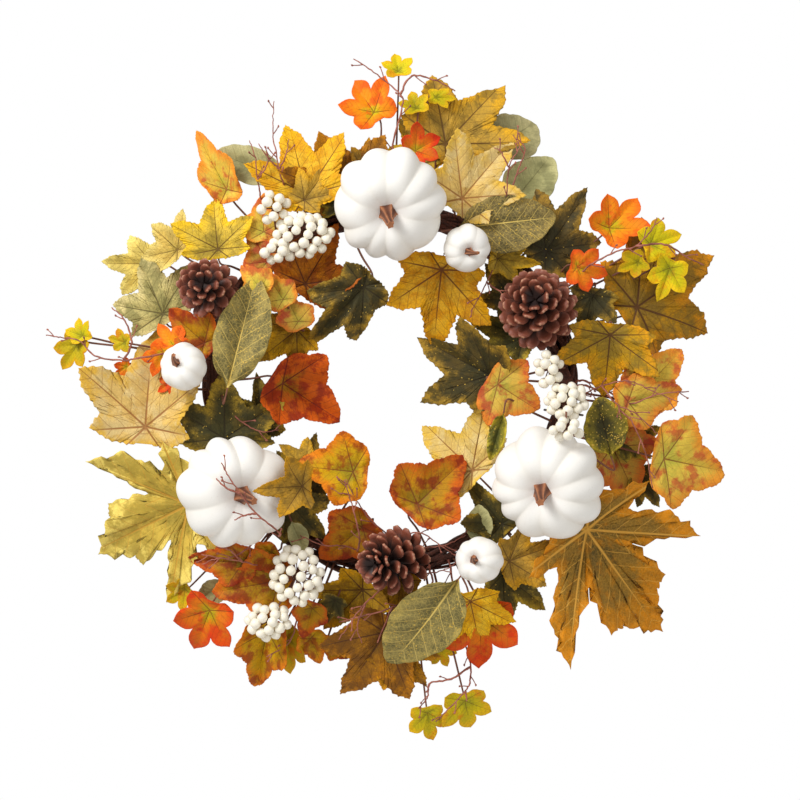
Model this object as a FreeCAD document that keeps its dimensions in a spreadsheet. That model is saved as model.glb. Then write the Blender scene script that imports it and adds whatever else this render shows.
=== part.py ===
import FreeCAD, Part
import math
import os

# Harvest door wreath. Millimetres. The origin is the centre of the vine ring in the plane of the door:
# +X to the right, +Z up, and the wreath's front faces -Y, so every piece hangs in front of y = 0.
# Depths below are distances in front of the door, so a depth of 60 lies at y = -60.

SIZES = {
    "ring_radius": 155.0,         # door wreath base: centre line of the vine bundle
    "bundle_depth": 21.0,         # centre of the bundle in front of the door
    "cane_radius": 5.0,
    "cane_pitch": 10.6,           # from the middle cane to each cane around it
    "tie_ring_radius": 17.0,      # binding wire round the bundle
    "tie_wire_radius": 1.0,
    "loop_collar_radius": 18.6,   # hanging loop's collar, free on the bundle
    "loop_wire_radius": 1.25,
    "loop_neck_length": 12.0,
    "loop_eye_radius": 8.5,
    "leaf_thickness": 0.8,
    "dome_rise": 0.0015,          # how fast the leaves fall back from the ring's centre line
    "stalk_radius": 0.9,
    "stalk_foot_depth": 33.0,     # leaf stalks end this deep among the canes
    "large_pumpkin_radius": 50.0,
    "large_pumpkin_half_height": 33.0,
    "large_pumpkin_depth": 86.0,
    "small_pumpkin_radius": 20.5,
    "small_pumpkin_half_height": 17.0,
    "small_pumpkin_depth": 82.0,
    "pumpkin_groove": 0.055,      # groove depth between lobes, as part of the radius
    "pick_radius": 1.6,           # wooden pick in a pumpkin's back
    "pick_aside": 8.0,            # the pick stands beside the pumpkin's middle, clear of the loop
    "pick_grip": 9.0,             # how far a pick goes into the foam
    "berry_radius": 4.6,
    "twig_radius": 1.0,
    "cone_scale_thickness": 2.2,
}

PUMPKIN_LOBES = 10
CANES_AROUND = 6
TIE_ANGLES = (45, 124, 203, 264, 309, 352)

# One half of each leaf outline, from the tip round to the stalk: the angle from the midrib in degrees
# and the distance from the stalk's end as a part of the leaf's length.
HALF_OUTLINES = {
    "maple": [(0, 1.0), (13, 0.70), (25, 0.50), (37, 0.68), (50, 0.84), (63, 0.60), (77, 0.42),
              (97, 0.54), (122, 0.34), (155, 0.20)],
    "lobed": [(0, 1.0), (13, 0.66), (24, 0.70), (36, 0.24), (49, 0.86), (66, 0.56), (80, 0.24),
              (97, 0.54), (128, 0.24), (160, 0.13)],
    "grape": [(0, 1.0), (14, 0.80), (30, 0.60), (48, 0.60), (68, 0.68), (84, 0.52), (112, 0.44),
              (150, 0.26)],
    "ivy": [(0, 1.0), (22, 0.55), (50, 0.84), (76, 0.46), (118, 0.56), (155, 0.28)],
    "oval": [(0, 1.0), (7.6, 0.91), (18.9, 0.74), (30, 0.58), (40, 0.39), (49, 0.18)],
}

# The leaves, by node. Each leaf: where its stalk ends and where its tip lies, as x and z seen from the
# front, its width against its outline's, and its depth where its plane crosses the ring's centre line.
LEAVES = {
    "golden_maple_leaves": ("maple", [
        ((-73, 169), (-90, 237), 1.0, 55),
        ((45, 103), (37, 32), 1.0, 52),
        ((70, -186), (81, -235), 1.0, 56),
    ]),
    "brown_gold_maple_leaves": ("maple", [
        ((-39, 169), (-60, 229), 1.2, 44),
        ((-24, -177), (-60, -217), 1.0, 40),
        ((9, -169), (5, -214), 0.8, 39),
        ((-4, -214), (-43, -276), 1.0, 48),
        ((2, -225), (32, -267), 0.9, 40),
        ((-82, 51), (-117, 23), 1.1, 43),
    ]),
    "orange_gold_maple_leaf": ("maple", [
        ((-74, 91), (-44, 142), 1.1, 48),
    ]),
    "russet_maple_leaves": ("maple", [
        ((217, 71), (293, 124), 0.95, 40),
        ((192, 46), (187, -10), 1.3, 53),
    ]),
    "beige_maple_leaves": ("maple", [
        ((-214, -34), (-209, 51), 1.0, 48),
        ((63, 165), (108, 220), 0.9, 52),
        ((72, -72), (31, -32), 1.25, 48),
    ]),
    "pale_yellow_maple_leaves": ("maple", [
        ((-186, 121), (-211, 144), 1.25, 49),
        ((-210, 110), (-260, 112), 0.8, 26),
    ]),
    "grey_green_maple_leaf": ("maple", [
        ((-199, 65), (-222, 115), 1.15, 44),
    ]),
    "olive_maple_leaves": ("maple", [
        ((-150, 121), (-156, 168), 1.2, 52),
        ((-74, 163), (-52, 195), 0.8, 61),
        ((49, 215), (102, 275), 1.0, 36),
        ((104, -151), (147, -136), 1.0, 52),
        ((94, 113), (132, 107), 0.7, 50),
        ((-24, 191), (-18, 222), 0.7, 48),
        ((-73, -70), (-96, -49), 1.0, 54),
        ((-75, -84), (-111, -85), 0.8, 112, 32),
        ((30, 198), (10, 242), 0.8, 30),
    ]),
    "dark_green_leaves_left": ("maple", [
        ((-43, 160), (-70, 164), 0.8, 52),
        ((-144, -44), (-145, 15), 1.35, 52),
        ((-79, -96), (-63, -37), 0.75, 40),
        ((-89, -100), (-58, -133), 1.0, 45),
        ((-48, -186), (-60, -208), 0.9, 48),
        ((-112, -35), (-116, 12), 0.8, 42),
    ]),
    "dark_green_leaves_right": ("maple", [
        ((136, 120), (178, 178), 0.8, 44),
        ((177, 81), (168, 44), 1.1, 47),
        ((205, -46), (243, -36), 0.85, 36),
        ((220, -79), (242, -105), 0.8, 30),
        ((99, -163), (139, -195), 0.95, 42),
        ((110, 77), (80, 110), 0.9, 46),
        ((117, 44), (66, 65), 0.8, 40),
        ((98, -119), (66, -82), 0.9, 44),
    ]),
    "hole_leaves": ("maple", [
        ((88, 11), (20, 46), 0.8, 48),
        ((-23, 88), (-72, 36), 0.7, 60),
    ]),
    "sage_leaves": ("oval", [
        ((-92, 184), (-152, 208), 0.9, 30),
        ((-144, -171), (-170, -188), 1.2, 36),
        ((89, 208), (131, 240), 1.5, 24),
        ((102, 156), (142, 206), 1.15, 32),
        ((80, -137), (77, -103), 1.2, 47),
        ((-86, -116), (-74, -144), 1.0, 52),
    ]),
    "lobed_leaf_left": ("lobed", [
        ((-176, -102), (-271, -149), 1.0, 44),
    ]),
    "lobed_leaf_right": ("lobed", [
        ((172, -124), (243, -221), 1.0, 46),
    ]),
    "magnolia_leaf_left": ("oval", [
        ((-140, -2), (-116, 93), 0.82, 80),
    ]),
    "magnolia_leaf_top": ("oval", [
        ((57, 138), (147, 150), 0.95, 62, 6),
    ]),
    "magnolia_leaf_bottom": ("oval", [
        ((60, -163), (3, -243), 1.0, 80),
    ]),
    "mottled_leaves_top_left": ("grape", [
        ((-144, 175), (-175, 231), 0.42, 34),
        ((-110, 136), (-112, 172), 0.9, 51),
        ((-107, 110), (-122, 136), 1.0, 51),
        ((-112, 86), (-129, 107), 1.0, 62),
        ((-93, 77), (-110, 103), 0.9, 56),
        ((-80, 58), (-94, 86), 0.9, 52),
    ]),
    "mottled_leaf_left": ("grape", [
        ((-161, 39), (-195, 69), 0.85, 58),
    ]),
    "red_leaf_inside": ("grape", [
        ((-94, 4), (-46, -28), 1.0, 48),
    ]),
    "mottled_leaves_hole": ("grape", [
        ((-32, -73), (-84, -67), 1.0, 64),
        ((-24, -122), (-61, -152), 1.0, 45),
        ((24, -101), (65, -60), 1.0, 64),
    ]),
    "mottled_leaves_lower_left": ("grape", [
        ((-128, -152), (-179, -150), 0.65, 54),
        ((-97, -168), (-154, -178), 0.9, 56),
        ((-102, -144), (-125, -157), 1.0, 64),
        ((-108, -214), (-122, -273), 0.6, 44),
    ]),
    "mottled_leaves_right": ("grape", [
        ((94, 3), (131, -21), 1.2, 56),
        ((240, -62), (296, -74), 1.1, 53),
        ((219, -4), (257, 33), 0.9, 50),
        ((207, -12), (260, -3), 0.75, 60),
        ((196, -52), (219, -98), 1.1, 33),
    ]),
    "curled_leaf_right": ("oval", [
        ((99, -21), (86, -64), 0.6, 64),
    ]),
    "speckled_leaf_right": ("oval", [
        ((192, -60), (180, -9), 1.3, 64),
    ]),
    "orange_ivy_leaves_top": ("ivy", [
        ((-14, 242), (-34, 273), 1.0, 48),
        ((22, 206), (44, 220), 1.1, 60),
    ]),
    "orange_ivy_leaves_left": ("ivy", [
        ((-187, 35), (-201, 56), 1.0, 60),
        ((-197, 32), (-207, 10), 0.9, 60),
        ((-187, 7), (-203, -4), 0.8, 56),
        ((-250, -2), (-264, -12), 0.8, 38),
        ((-232, 19), (-245, 10), 0.8, 38),
    ]),
    "orange_ivy_leaves_right": ("ivy", [
        ((193, 141), (221, 169), 0.9, 40),
        ((163, 105), (189, 98), 1.1, 56),
    ]),
    "orange_ivy_leaves_bottom": ("ivy", [
        ((-158, -195), (-174, -232), 1.0, 52),
        ((79, -200), (80, -245), 1.1, 50),
    ]),
    "green_ivy_leaves_top": ("ivy", [
        ((7, 280), (5, 298), 1.1, 44),
        ((23, 245), (18, 261), 1.2, 52),
        ((40, 256), (60, 255), 0.7, 48),
    ]),
    "green_ivy_leaves_left": ("ivy", [
        ((-271, 46), (-276, 63), 1.1, 52),
        ((-276, 39), (-289, 17), 1.0, 48),
        ((-232, 40), (-248, 44), 0.9, 52),
        ((-181, -178), (-198, -189), 1.0, 40),
    ]),
    "green_ivy_leaves_right": ("ivy", [
        ((228, 126), (257, 136), 0.9, 56),
        ((245, 105), (234, 76), 0.9, 60),
        ((217, 110), (198, 102), 0.9, 58),
    ]),
    "green_ivy_leaves_bottom": ("ivy", [
        ((33, -287), (37, -312), 1.0, 50),
        ((66, -276), (72, -305), 1.1, 50),
        ((44, -228), (52, -247), 0.9, 36),
        ((-91, -219), (-88, -257), 0.6, 34),
    ]),
    "small_mottled_leaves": ("grape", [
        ((-68, -192), (-76, -220), 0.9, 52),
        ((-70, -220), (-60, -244), 1.0, 42),
        ((-51, -228), (-35, -240), 0.8, 38),
    ]),
}

# Pumpkins: x, z, and the direction that the stem leans seen from the front (degrees from +X) and by how much.
LARGE_PUMPKINS = {
    "pumpkin_top": (0, 158, -100, 24),
    "pumpkin_left": (-133, -89, -12, 20),
    "pumpkin_right": (136, -82, -140, 22),
}
SMALL_PUMPKINS = {
    "small_pumpkin_top": (66, 120, -70, 20),
    "small_pumpkin_left": (-177, 18, 150, 30),
    "small_pumpkin_bottom": (77, -148, 170, 25),
}
# Sections of a pumpkin from its underside to its crown: radius and height, as parts of its own.
PUMPKIN_SECTIONS = [(0.16, -0.84), (0.55, -1.0), (0.88, -0.66), (1.0, -0.02), (0.92, 0.58),
                    (0.62, 0.97), (0.34, 0.98), (0.15, 0.80)]

# Pinecones: x, z, radius, length, and the way the tip points (x, y, z). The foot is at the vine.
PINECONES = {
    "pinecone_right": (126, 71, 35, 52, (-0.12, -1.0, 0.18)),
    "pinecone_left": (-159, 87, 27, 48, (-0.1, -1.0, 0.1)),
    "pinecone_bottom": (-3, -150, 28, 58, (-0.62, -0.78, -0.05)),
}

# Berry clusters: clumps of berries, each x, z, depth, half width, half height and number of berries.
BERRIES = {
    "berries_upper_left": [(-75, 132, 76, 24, 17, 26), (-101, 156, 76, 12, 12, 9), (-97, 118, 72, 13, 8, 8)],
    "berries_right": [(137, 16, 84, 10, 14, 10), (152, -12, 88, 16, 15, 18), (149, -35, 129, 13, 7, 8)],
    "berries_lower_left": [(-80, -162, 84, 21, 24, 28), (-105, -202, 76, 17, 14, 18)],
}

# Twigs and tendrils: each is a run of points x, z, depth, from its foot outwards.
TWIGS = {
    "twig_pick_top": [
        [(4, 172, 38), (2, 208, 46), (10, 242, 52), (9, 256, 50), (-14, 276, 46), (-32, 288, 44)],
        [(9, 256, 50), (19, 272, 50), (40, 268, 52), (57, 259, 50)],
    ],
    "twig_pick_left": [
        [(-172, 34, 38), (-205, 28, 62), (-231, 24, 62), (-256, 28, 60), (-270, 41, 58), (-287, 44, 54),
         (-300, 46, 50)],
        [(-231, 24, 62), (-224, 40, 62), (-231, 60, 60), (-242, 70, 56)],
    ],
    "twig_pick_right": [
        [(150, 82, 36), (163, 97, 48), (176, 108, 62), (196, 118, 64), (213, 123, 64), (227, 137, 60), (232, 148, 58)],
        [(213, 123, 64), (238, 124, 66), (256, 114, 62), (273, 107, 56)],
        [(172, 6, 38), (192, -4, 46), (207, -14, 56), (234, -5, 68), (259, -3, 64)],
        [(172, 2, 38), (192, -8, 46), (200, -20, 66), (209, -29, 68), (221, -56, 66), (228, -87, 62)],
    ],
    "twig_pick_bottom": [
        [(53, -158, 38), (60, -205, 36), (70, -239, 34), (70, -256, 44), (66, -264, 52), (49, -282, 52),
         (40, -291, 52)],
        [(66, -264, 52), (67, -273, 52)],
        [(70, -245, 38), (53, -254, 50), (35, -257, 54), (33, -269, 52), (25, -280, 50)],
        [(-72, -154, 38), (-80, -195, 43), (-88, -222, 45), (-108, -235, 46)],
    ],
    "tendril_twigs": [
        [(-95, -126, 38), (-95, -127, 84), (-94, -122, 114), (-112, -106, 124), (-125, -89, 129),
         (-135, -74, 131), (-141, -63, 129)],
        [(-125, -89, 129), (-137, -84, 131), (-145, -76, 131)],
        [(-112, -106, 124), (-121, -107, 127), (-130, -111, 129)],
        [(-30, -146, 38), (-26, -130, 72), (-32, -103, 78), (-39, -79, 78)],
        [(96, 138, 38), (104, 165, 43), (112, 190, 43), (118, 208, 48), (111, 218, 50)],
        [(35, -160, 38), (35, -172, 62), (2, -190, 66), (-22, -197, 66), (-44, -203, 62)],
        [(2, -190, 66), (-11, -221, 62)],
        [(-118, -128, 38), (-121, -137, 68), (-140, -147, 70), (-163, -144, 68)],
    ],
}

doc = FreeCAD.newDocument("harvest_door_wreath")
sheet = doc.addObject("Spreadsheet::Sheet", "Sizes")


def fill_sheet():
    """Each driving dimension gets a row: its name, and its value in a cell with that name as alias."""
    for row, (alias, value) in enumerate(SIZES.items(), start=1):
        sheet.set(f"A{row}", alias)
        sheet.set(f"B{row}", str(value))
        sheet.setAlias(f"B{row}", alias)
    doc.recompute()


fill_sheet()
RING = sheet.ring_radius
SUBPARTS = []


def subpart(piece, label):
    """Marks an object of the document as one sub-part, under the name of its file."""
    piece.Label = label
    SUBPARTS.append(piece)
    return piece


def shaped(label, shape):
    """A sub-part whose shape is worked out with Part's own functions."""
    piece = doc.addObject("Part::Feature", label)
    piece.Shape = shape
    return subpart(piece, label)


def bound(kind, name, **sizes):
    """A Part primitive whose sizes follow the sheet."""
    piece = doc.addObject(kind, name)
    for size, formula in sizes.items():
        piece.setExpression(size, formula)
    return piece


def compound(label, pieces):
    group = doc.addObject("Part::Compound", label)
    group.Links = pieces
    return subpart(group, label)


def at(x, z, depth):
    return FreeCAD.Vector(x, -depth, z)


def turned(axis, towards):
    """The rotation that carries one direction onto another."""
    return FreeCAD.Rotation(FreeCAD.Vector(*axis), FreeCAD.Vector(*towards))


# Vine ring ------------------------------------------------------------------------------------------


def vine_canes():
    """A middle cane and six around it, each one closed ring about the Y axis."""
    canes = []
    for i in range(CANES_AROUND + 1):
        angle = 360.0 / CANES_AROUND * i
        pitch = "0" if i == CANES_AROUND else "Sizes.cane_pitch"
        out = f"{pitch} * cos({angle} deg)"
        forward = f"{pitch} * sin({angle} deg)"
        cane = bound("Part::Torus", f"cane_{i}", Radius1=f"(Sizes.ring_radius + {out}) * 1 mm",
                     Radius2="Sizes.cane_radius * 1 mm")
        cane.setExpression(".Placement.Base.y", f"-(Sizes.bundle_depth + {forward}) * 1 mm")
        cane.setExpression(".Placement.Rotation", "rotation(vector(1; 0; 0); 90)")
        canes.append(cane)
    compound("vine_canes", canes)


def binding_ties():
    """Wire rings round the bundle, each lying across the ring at its own angle."""
    ties = []
    for angle in TIE_ANGLES:
        across = math.radians(angle)
        tie = bound("Part::Torus", f"tie_{angle}", Radius1="Sizes.tie_ring_radius * 1 mm",
                    Radius2="Sizes.tie_wire_radius * 1 mm")
        tie.setExpression(".Placement.Base.x", f"Sizes.ring_radius * cos({angle} deg) * 1 mm")
        tie.setExpression(".Placement.Base.y", "-Sizes.bundle_depth * 1 mm")
        tie.setExpression(".Placement.Base.z", f"Sizes.ring_radius * sin({angle} deg) * 1 mm")
        tie.Placement.Rotation = turned((0, 0, 1), (-math.sin(across), 0, math.cos(across)))
        ties.append(tie)
    compound("binding_ties", ties)


def hanging_loop():
    """A bent wire: a collar free to turn on the bundle's top, a twisted neck, and the eye for a hook."""
    wire = "Sizes.loop_wire_radius * 1 mm"
    collar = bound("Part::Torus", "loop_collar", Radius1="Sizes.loop_collar_radius * 1 mm", Radius2=wire)
    collar.Placement.Rotation = turned((0, 0, 1), (1, 0, 0))
    collar.setExpression(".Placement.Base.y", "-Sizes.bundle_depth * 1 mm")
    collar.setExpression(".Placement.Base.z", "Sizes.ring_radius * 1 mm")
    foot = "Sizes.ring_radius + Sizes.loop_collar_radius"
    pieces = [collar]
    for side in (-1, 1):
        strand = bound("Part::Cylinder", f"loop_neck_{side + 1}", Radius=wire,
                       Height="(Sizes.loop_neck_length + 2) * 1 mm")
        strand.setExpression(".Placement.Base.x", f"{side} * Sizes.loop_wire_radius * 0.8 * 1 mm")
        strand.setExpression(".Placement.Base.y", "-Sizes.bundle_depth * 1 mm")
        strand.setExpression(".Placement.Base.z", f"({foot} - 1) * 1 mm")
        pieces.append(strand)
    eye = bound("Part::Torus", "loop_eye", Radius1="Sizes.loop_eye_radius * 1 mm", Radius2=wire)
    eye.Placement.Rotation = turned((0, 0, 1), (0, 1, 0))
    eye.setExpression(".Placement.Base.y", "-Sizes.bundle_depth * 1 mm")
    eye.setExpression(".Placement.Base.z", f"({foot} + Sizes.loop_neck_length + Sizes.loop_eye_radius) * 1 mm")
    pieces.append(eye)
    loop = doc.addObject("Part::MultiFuse", "hanging_loop")
    loop.Shapes = pieces
    subpart(loop, "hanging_loop")


# Leaves ---------------------------------------------------------------------------------------------


def dome(x, z, depth):
    """The y and the slope away from the centre of the dome that leaves of one depth lie on. The dome is
    highest over the ring's centre line, and falls back with the square of the distance from it."""
    off = math.hypot(x, z) - RING
    return -depth + sheet.dome_rise * off * off, 2 * sheet.dome_rise * off


class Leaf:
    """A leaf's plane touches the dome half way along the midrib, and its slope comes from there. A rise
    turns the tip forward by that much against the stalk."""

    def __init__(self, stalk, tip, width, depth, rise=0):
        middle = ((stalk[0] + tip[0]) / 2, (stalk[1] + tip[1]) / 2)
        y, slope = dome(*middle, depth)
        away = math.hypot(*middle)
        seen = math.dist(stalk, tip)
        steep = rise / (seen * seen)
        lean = FreeCAD.Vector(slope * middle[0] / away - steep * (tip[0] - stalk[0]), -1,
                              slope * middle[1] / away - steep * (tip[1] - stalk[1]))

        def on_plane(x, z):
            return FreeCAD.Vector(x, y + (x - middle[0]) * lean.x + (z - middle[1]) * lean.z, z)

        self.stalk, self.tip = on_plane(*stalk), on_plane(*tip)
        self.along = self.tip - self.stalk
        self.length = self.along.Length
        self.along.normalize()
        self.front = lean.normalize()
        self.across = self.front.cross(self.along)
        self.width = width

    def point(self, angle, reach):
        """A point of the outline from its angle to the midrib and its reach from the stalk."""
        along = reach * self.length * math.cos(math.radians(angle))
        aside = reach * self.length * math.sin(math.radians(angle)) * self.width
        return self.stalk + self.along * along + self.across * aside

    def plate(self, half):
        """The cloth: a flat plate with the whole outline, one thickness deep."""
        right = [self.point(angle, reach) for angle, reach in half]
        left = [self.point(-angle, reach) for angle, reach in reversed(half[1:])]
        outline = right + left
        face = Part.Face(Part.makePolygon(outline + outline[:1]))
        return face.extrude(self.front * -sheet.leaf_thickness)

    def wire(self):
        """The wired stalk, from the leaf's base to its foot among the canes."""
        away = math.hypot(self.stalk.x, self.stalk.z)
        reach = max(-sheet.cane_pitch, min(away - RING, sheet.cane_pitch))
        share = (RING + reach) / away
        foot = FreeCAD.Vector(self.stalk.x * share, -sheet.stalk_foot_depth, self.stalk.z * share)
        start = self.stalk + self.along * 3 - self.front * sheet.stalk_radius
        run = foot - start
        return Part.makeCylinder(sheet.stalk_radius, run.Length, start, run)


def leaves():
    """Every node of leaves, and the stalks of them all."""
    stalks = []
    for node, (kind, places) in LEAVES.items():
        cut = [Leaf(*place) for place in places]
        shaped(node, Part.makeCompound([leaf.plate(HALF_OUTLINES[kind]) for leaf in cut]))
        stalks += [leaf.wire() for leaf in cut]
    shaped("leaf_stalks", Part.makeCompound(stalks))


# Pumpkins -------------------------------------------------------------------------------------------


def lobed_ring(radius, height):
    """A closed curve with one soft bulge for each lobe."""
    points = []
    steps = PUMPKIN_LOBES * 4
    for i in range(steps):
        angle = 2 * math.pi * i / steps
        groove = sheet.pumpkin_groove * (1 - math.cos(PUMPKIN_LOBES * angle)) / 2
        reach = radius * (1 - groove)
        points.append(FreeCAD.Vector(reach * math.cos(angle), reach * math.sin(angle), height))
    curve = Part.BSplineCurve()
    curve.interpolate(points, PeriodicFlag=True)
    return Part.Wire([curve.toShape()])


def stem(reach, flare, lean):
    """A faceted stem: a wide foot, a narrow waist and a cut end, five-sided, leaning as it rises."""
    sections = []
    for share, size in ((0.0, 1.0), (0.35, 0.62), (1.0, 0.55)):
        ring = []
        for i in range(5):
            angle = 2 * math.pi * i / 5 + 0.5 * share
            ring.append(FreeCAD.Vector(flare * size * math.cos(angle) + lean * share * share,
                                       flare * size * math.sin(angle), reach * share))
        sections.append(Part.makePolygon(ring + ring[:1]))
    return Part.makeLoft(sections, True, True)


def pumpkins(group, radius, half_height, depth, stem_reach, stems_label):
    """The foam pumpkins of one size, their stems, and their picks. A stem stands in its crown's dimple."""
    stems, picks = [], []
    for label, (x, z, heading, tilt) in group.items():
        towards = (math.cos(math.radians(heading)) * math.sin(math.radians(tilt)),
                   -math.cos(math.radians(tilt)),
                   math.sin(math.radians(heading)) * math.sin(math.radians(tilt)))
        place = FreeCAD.Placement(at(x, z, depth), turned((0, 0, 1), towards))
        rings = [lobed_ring(radius * part, half_height * height) for part, height in PUMPKIN_SECTIONS]
        pumpkin = shaped(label, Part.makeLoft(rings, True, False))
        pumpkin.Placement = place
        tip = stem(stem_reach, radius * 0.15, radius * 0.16)
        tip.Placement = place.multiply(FreeCAD.Placement(FreeCAD.Vector(0, 0, half_height * 0.8),
                                                         FreeCAD.Rotation()))
        stems.append(tip)
        back = depth - half_height * 0.9
        grip = at(x + sheet.pick_aside, z, back + sheet.pick_grip)
        foot = at(x + sheet.pick_aside, z, sheet.stalk_foot_depth - 4)
        picks.append(Part.makeCylinder(sheet.pick_radius, (foot - grip).Length, grip, foot - grip))
    shaped(stems_label, Part.makeCompound(stems))
    return picks


# Pinecones ------------------------------------------------------------------------------------------


def pinecone(radius, length):
    """A spindle core with tiers of pointed scales, each tier turned by half a scale from the last."""
    core = Part.makeCone(radius * 0.32, radius * 0.16, length, FreeCAD.Vector(0, 0, 0))
    tiers = 6
    shape = core
    for tier in range(tiers):
        share = (tier + 0.5) / tiers
        spread = radius * math.sin(math.pi * (0.22 + 0.66 * share)) ** 0.8
        count = 9 if tier < 4 else 6
        outline = []
        for i in range(2 * count):
            angle = math.pi * (i + tier) / count
            reach = spread * (1.0 if i % 2 == 0 else 0.72)
            outline.append(FreeCAD.Vector(reach * math.cos(angle), reach * math.sin(angle),
                                          length * share))
        scales = Part.Face(Part.makePolygon(outline + outline[:1]))
        shape = shape.fuse(scales.extrude(FreeCAD.Vector(0, 0, sheet.cone_scale_thickness)))
    return shape


def pinecones():
    wires = []
    for label, (x, z, radius, length, towards) in PINECONES.items():
        middle = at(x, z, 74)
        aim = FreeCAD.Vector(*towards).normalize()
        foot = middle - aim * length * 0.5
        piece = shaped(label, pinecone(radius, length))
        piece.Placement = FreeCAD.Placement(foot, turned((0, 0, 1), aim))
        share = RING / math.hypot(foot.x, foot.z)
        end = FreeCAD.Vector(foot.x * share, -sheet.stalk_foot_depth, foot.z * share)
        start = foot + aim * 4
        wires.append(Part.makeCylinder(sheet.stalk_radius, (end - start).Length, start, end - start))
    shaped("pinecone_wires", Part.makeCompound(wires))


# Berries --------------------------------------------------------------------------------------------


def berries():
    """Each clump spreads its berries evenly over the front of an egg by the golden angle. A wire runs
    from each clump's heart to the canes, and a short stalk from the heart to each berry."""
    golden = math.pi * (3 - math.sqrt(5))
    stalks = []
    for label, clumps in BERRIES.items():
        balls = []
        for n, (x, z, depth, half_width, half_height, count) in enumerate(clumps):
            heart = at(x, z, depth - 14)
            if n == 0:
                share = RING / math.hypot(x, z)
                foot = at(x * share, z * share, sheet.stalk_foot_depth)
            stalks.append(Part.makeCylinder(sheet.stalk_radius, (foot - heart).Length, heart, foot - heart))
            for i in range(count):
                lift = 1 - 0.95 * (i + 0.5) / count
                level = math.sqrt(1 - lift * lift)
                centre = at(x + half_width * level * math.cos(golden * i),
                            z + half_height * level * math.sin(golden * i), depth - 12 + 12 * lift)
                ball = bound("Part::Sphere", f"{label}_{n}_{i}", Radius="Sizes.berry_radius * 1 mm")
                ball.Placement.Base = centre
                balls.append(ball)
                run = centre - heart
                stalks.append(Part.makeCylinder(0.5, run.Length, heart, run))
            foot = heart
        compound(label, balls)
    shaped("berry_stalks", Part.makeCompound(stalks))


# Twigs ----------------------------------------------------------------------------------------------


def twig(points):
    """A wired twig: a straight run between each two points, and a ball at each bend."""
    radius = sheet.twig_radius
    runs = [Part.makeCylinder(radius, (b - a).Length, a, b - a) for a, b in zip(points, points[1:])]
    bends = [Part.makeSphere(radius, point) for point in points[1:]]
    return runs + bends


def twigs():
    for label, stretches in TWIGS.items():
        pieces = []
        for stretch in stretches:
            pieces += twig([at(*point) for point in stretch])
        shape = pieces[0].multiFuse(pieces[1:])
        shaped(label, shape)


vine_canes()
binding_ties()
hanging_loop()
leaves()
picks = pumpkins(LARGE_PUMPKINS, sheet.large_pumpkin_radius, sheet.large_pumpkin_half_height,
                 sheet.large_pumpkin_depth, 18, "large_pumpkin_stems")
picks += pumpkins(SMALL_PUMPKINS, sheet.small_pumpkin_radius, sheet.small_pumpkin_half_height,
                  sheet.small_pumpkin_depth, 11, "small_pumpkin_stems")
shaped("pumpkin_picks", Part.makeCompound(picks))
pinecones()
berries()
twigs()
doc.recompute()

for piece in doc.Objects:
    if "Invalid" in piece.State or "Error" in piece.State:
        raise RuntimeError(f"{piece.Label} failed: {piece.State}")
os.makedirs("parts", exist_ok=True)
for piece in SUBPARTS:
    if piece.Shape.isNull() or not piece.Shape.isValid():
        raise RuntimeError(f"{piece.Label} has no valid shape")
    piece.Shape.exportStep(f"parts/{piece.Label}.step")
print(len(SUBPARTS), "sub-parts written")
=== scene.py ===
import math
import bpy
import numpy as np
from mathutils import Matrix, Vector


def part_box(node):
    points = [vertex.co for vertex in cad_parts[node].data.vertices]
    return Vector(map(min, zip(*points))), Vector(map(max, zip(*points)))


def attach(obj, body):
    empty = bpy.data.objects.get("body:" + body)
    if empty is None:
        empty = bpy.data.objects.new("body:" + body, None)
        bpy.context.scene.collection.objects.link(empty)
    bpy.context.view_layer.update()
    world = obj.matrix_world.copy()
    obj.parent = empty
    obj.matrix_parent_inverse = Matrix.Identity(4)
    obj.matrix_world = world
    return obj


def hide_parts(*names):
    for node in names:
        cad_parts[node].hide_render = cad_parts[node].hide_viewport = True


# Harvest door wreath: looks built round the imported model. Metres; the front faces -Y, +Z is up.
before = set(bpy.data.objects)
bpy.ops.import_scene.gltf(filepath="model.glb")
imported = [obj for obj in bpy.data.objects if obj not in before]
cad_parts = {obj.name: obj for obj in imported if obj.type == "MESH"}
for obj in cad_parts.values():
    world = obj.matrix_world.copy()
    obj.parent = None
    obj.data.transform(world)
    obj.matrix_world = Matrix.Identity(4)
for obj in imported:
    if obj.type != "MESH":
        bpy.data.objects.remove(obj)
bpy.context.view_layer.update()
MM = 0.001
BODY = "wreath"
GOLDEN_ANGLE = math.pi * (3 - math.sqrt(5))


def srgb(red, green, blue):
    """A colour given as it looks on screen, 0 to 255, turned into the linear values that shaders take."""
    shown = np.array([red, green, blue]) / 255
    linear = np.where(shown <= 0.04045, shown / 12.92, ((shown + 0.055) / 1.055) ** 2.4)
    return (*linear, 1.0)


# Camera, light and floor -------------------------------------

CAMERA_PLACE = (0.00875, -2.045, -0.0105)
CAMERA_LENS = 102.9
FLOOR_DROP, FLOOR_RADIUS, FLOOR_SIDES = 0.5, 0.5, 96
SKY_STRENGTH = 0.56
LIGHTS = {  # place, what it aims at, side in metres, watts
    "key_light": ((-1.5, -1.5, 1.5), (0, 0, 0), 1.0, 56),
    "fill_light": ((1.6, -1.7, 0.3), (0, 0, 0), 1.6, 7),
}


def camera():
    data = bpy.data.cameras.new("camera")
    data.lens = CAMERA_LENS
    data.clip_end = 20
    seen_by = bpy.data.objects.new("camera", data)
    seen_by.location = CAMERA_PLACE
    seen_by.rotation_euler = (math.pi / 2, 0, 0)
    bpy.context.scene.collection.objects.link(seen_by)
    bpy.context.scene.camera = seen_by
    bpy.context.scene.view_settings.view_transform = "Standard"


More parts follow.
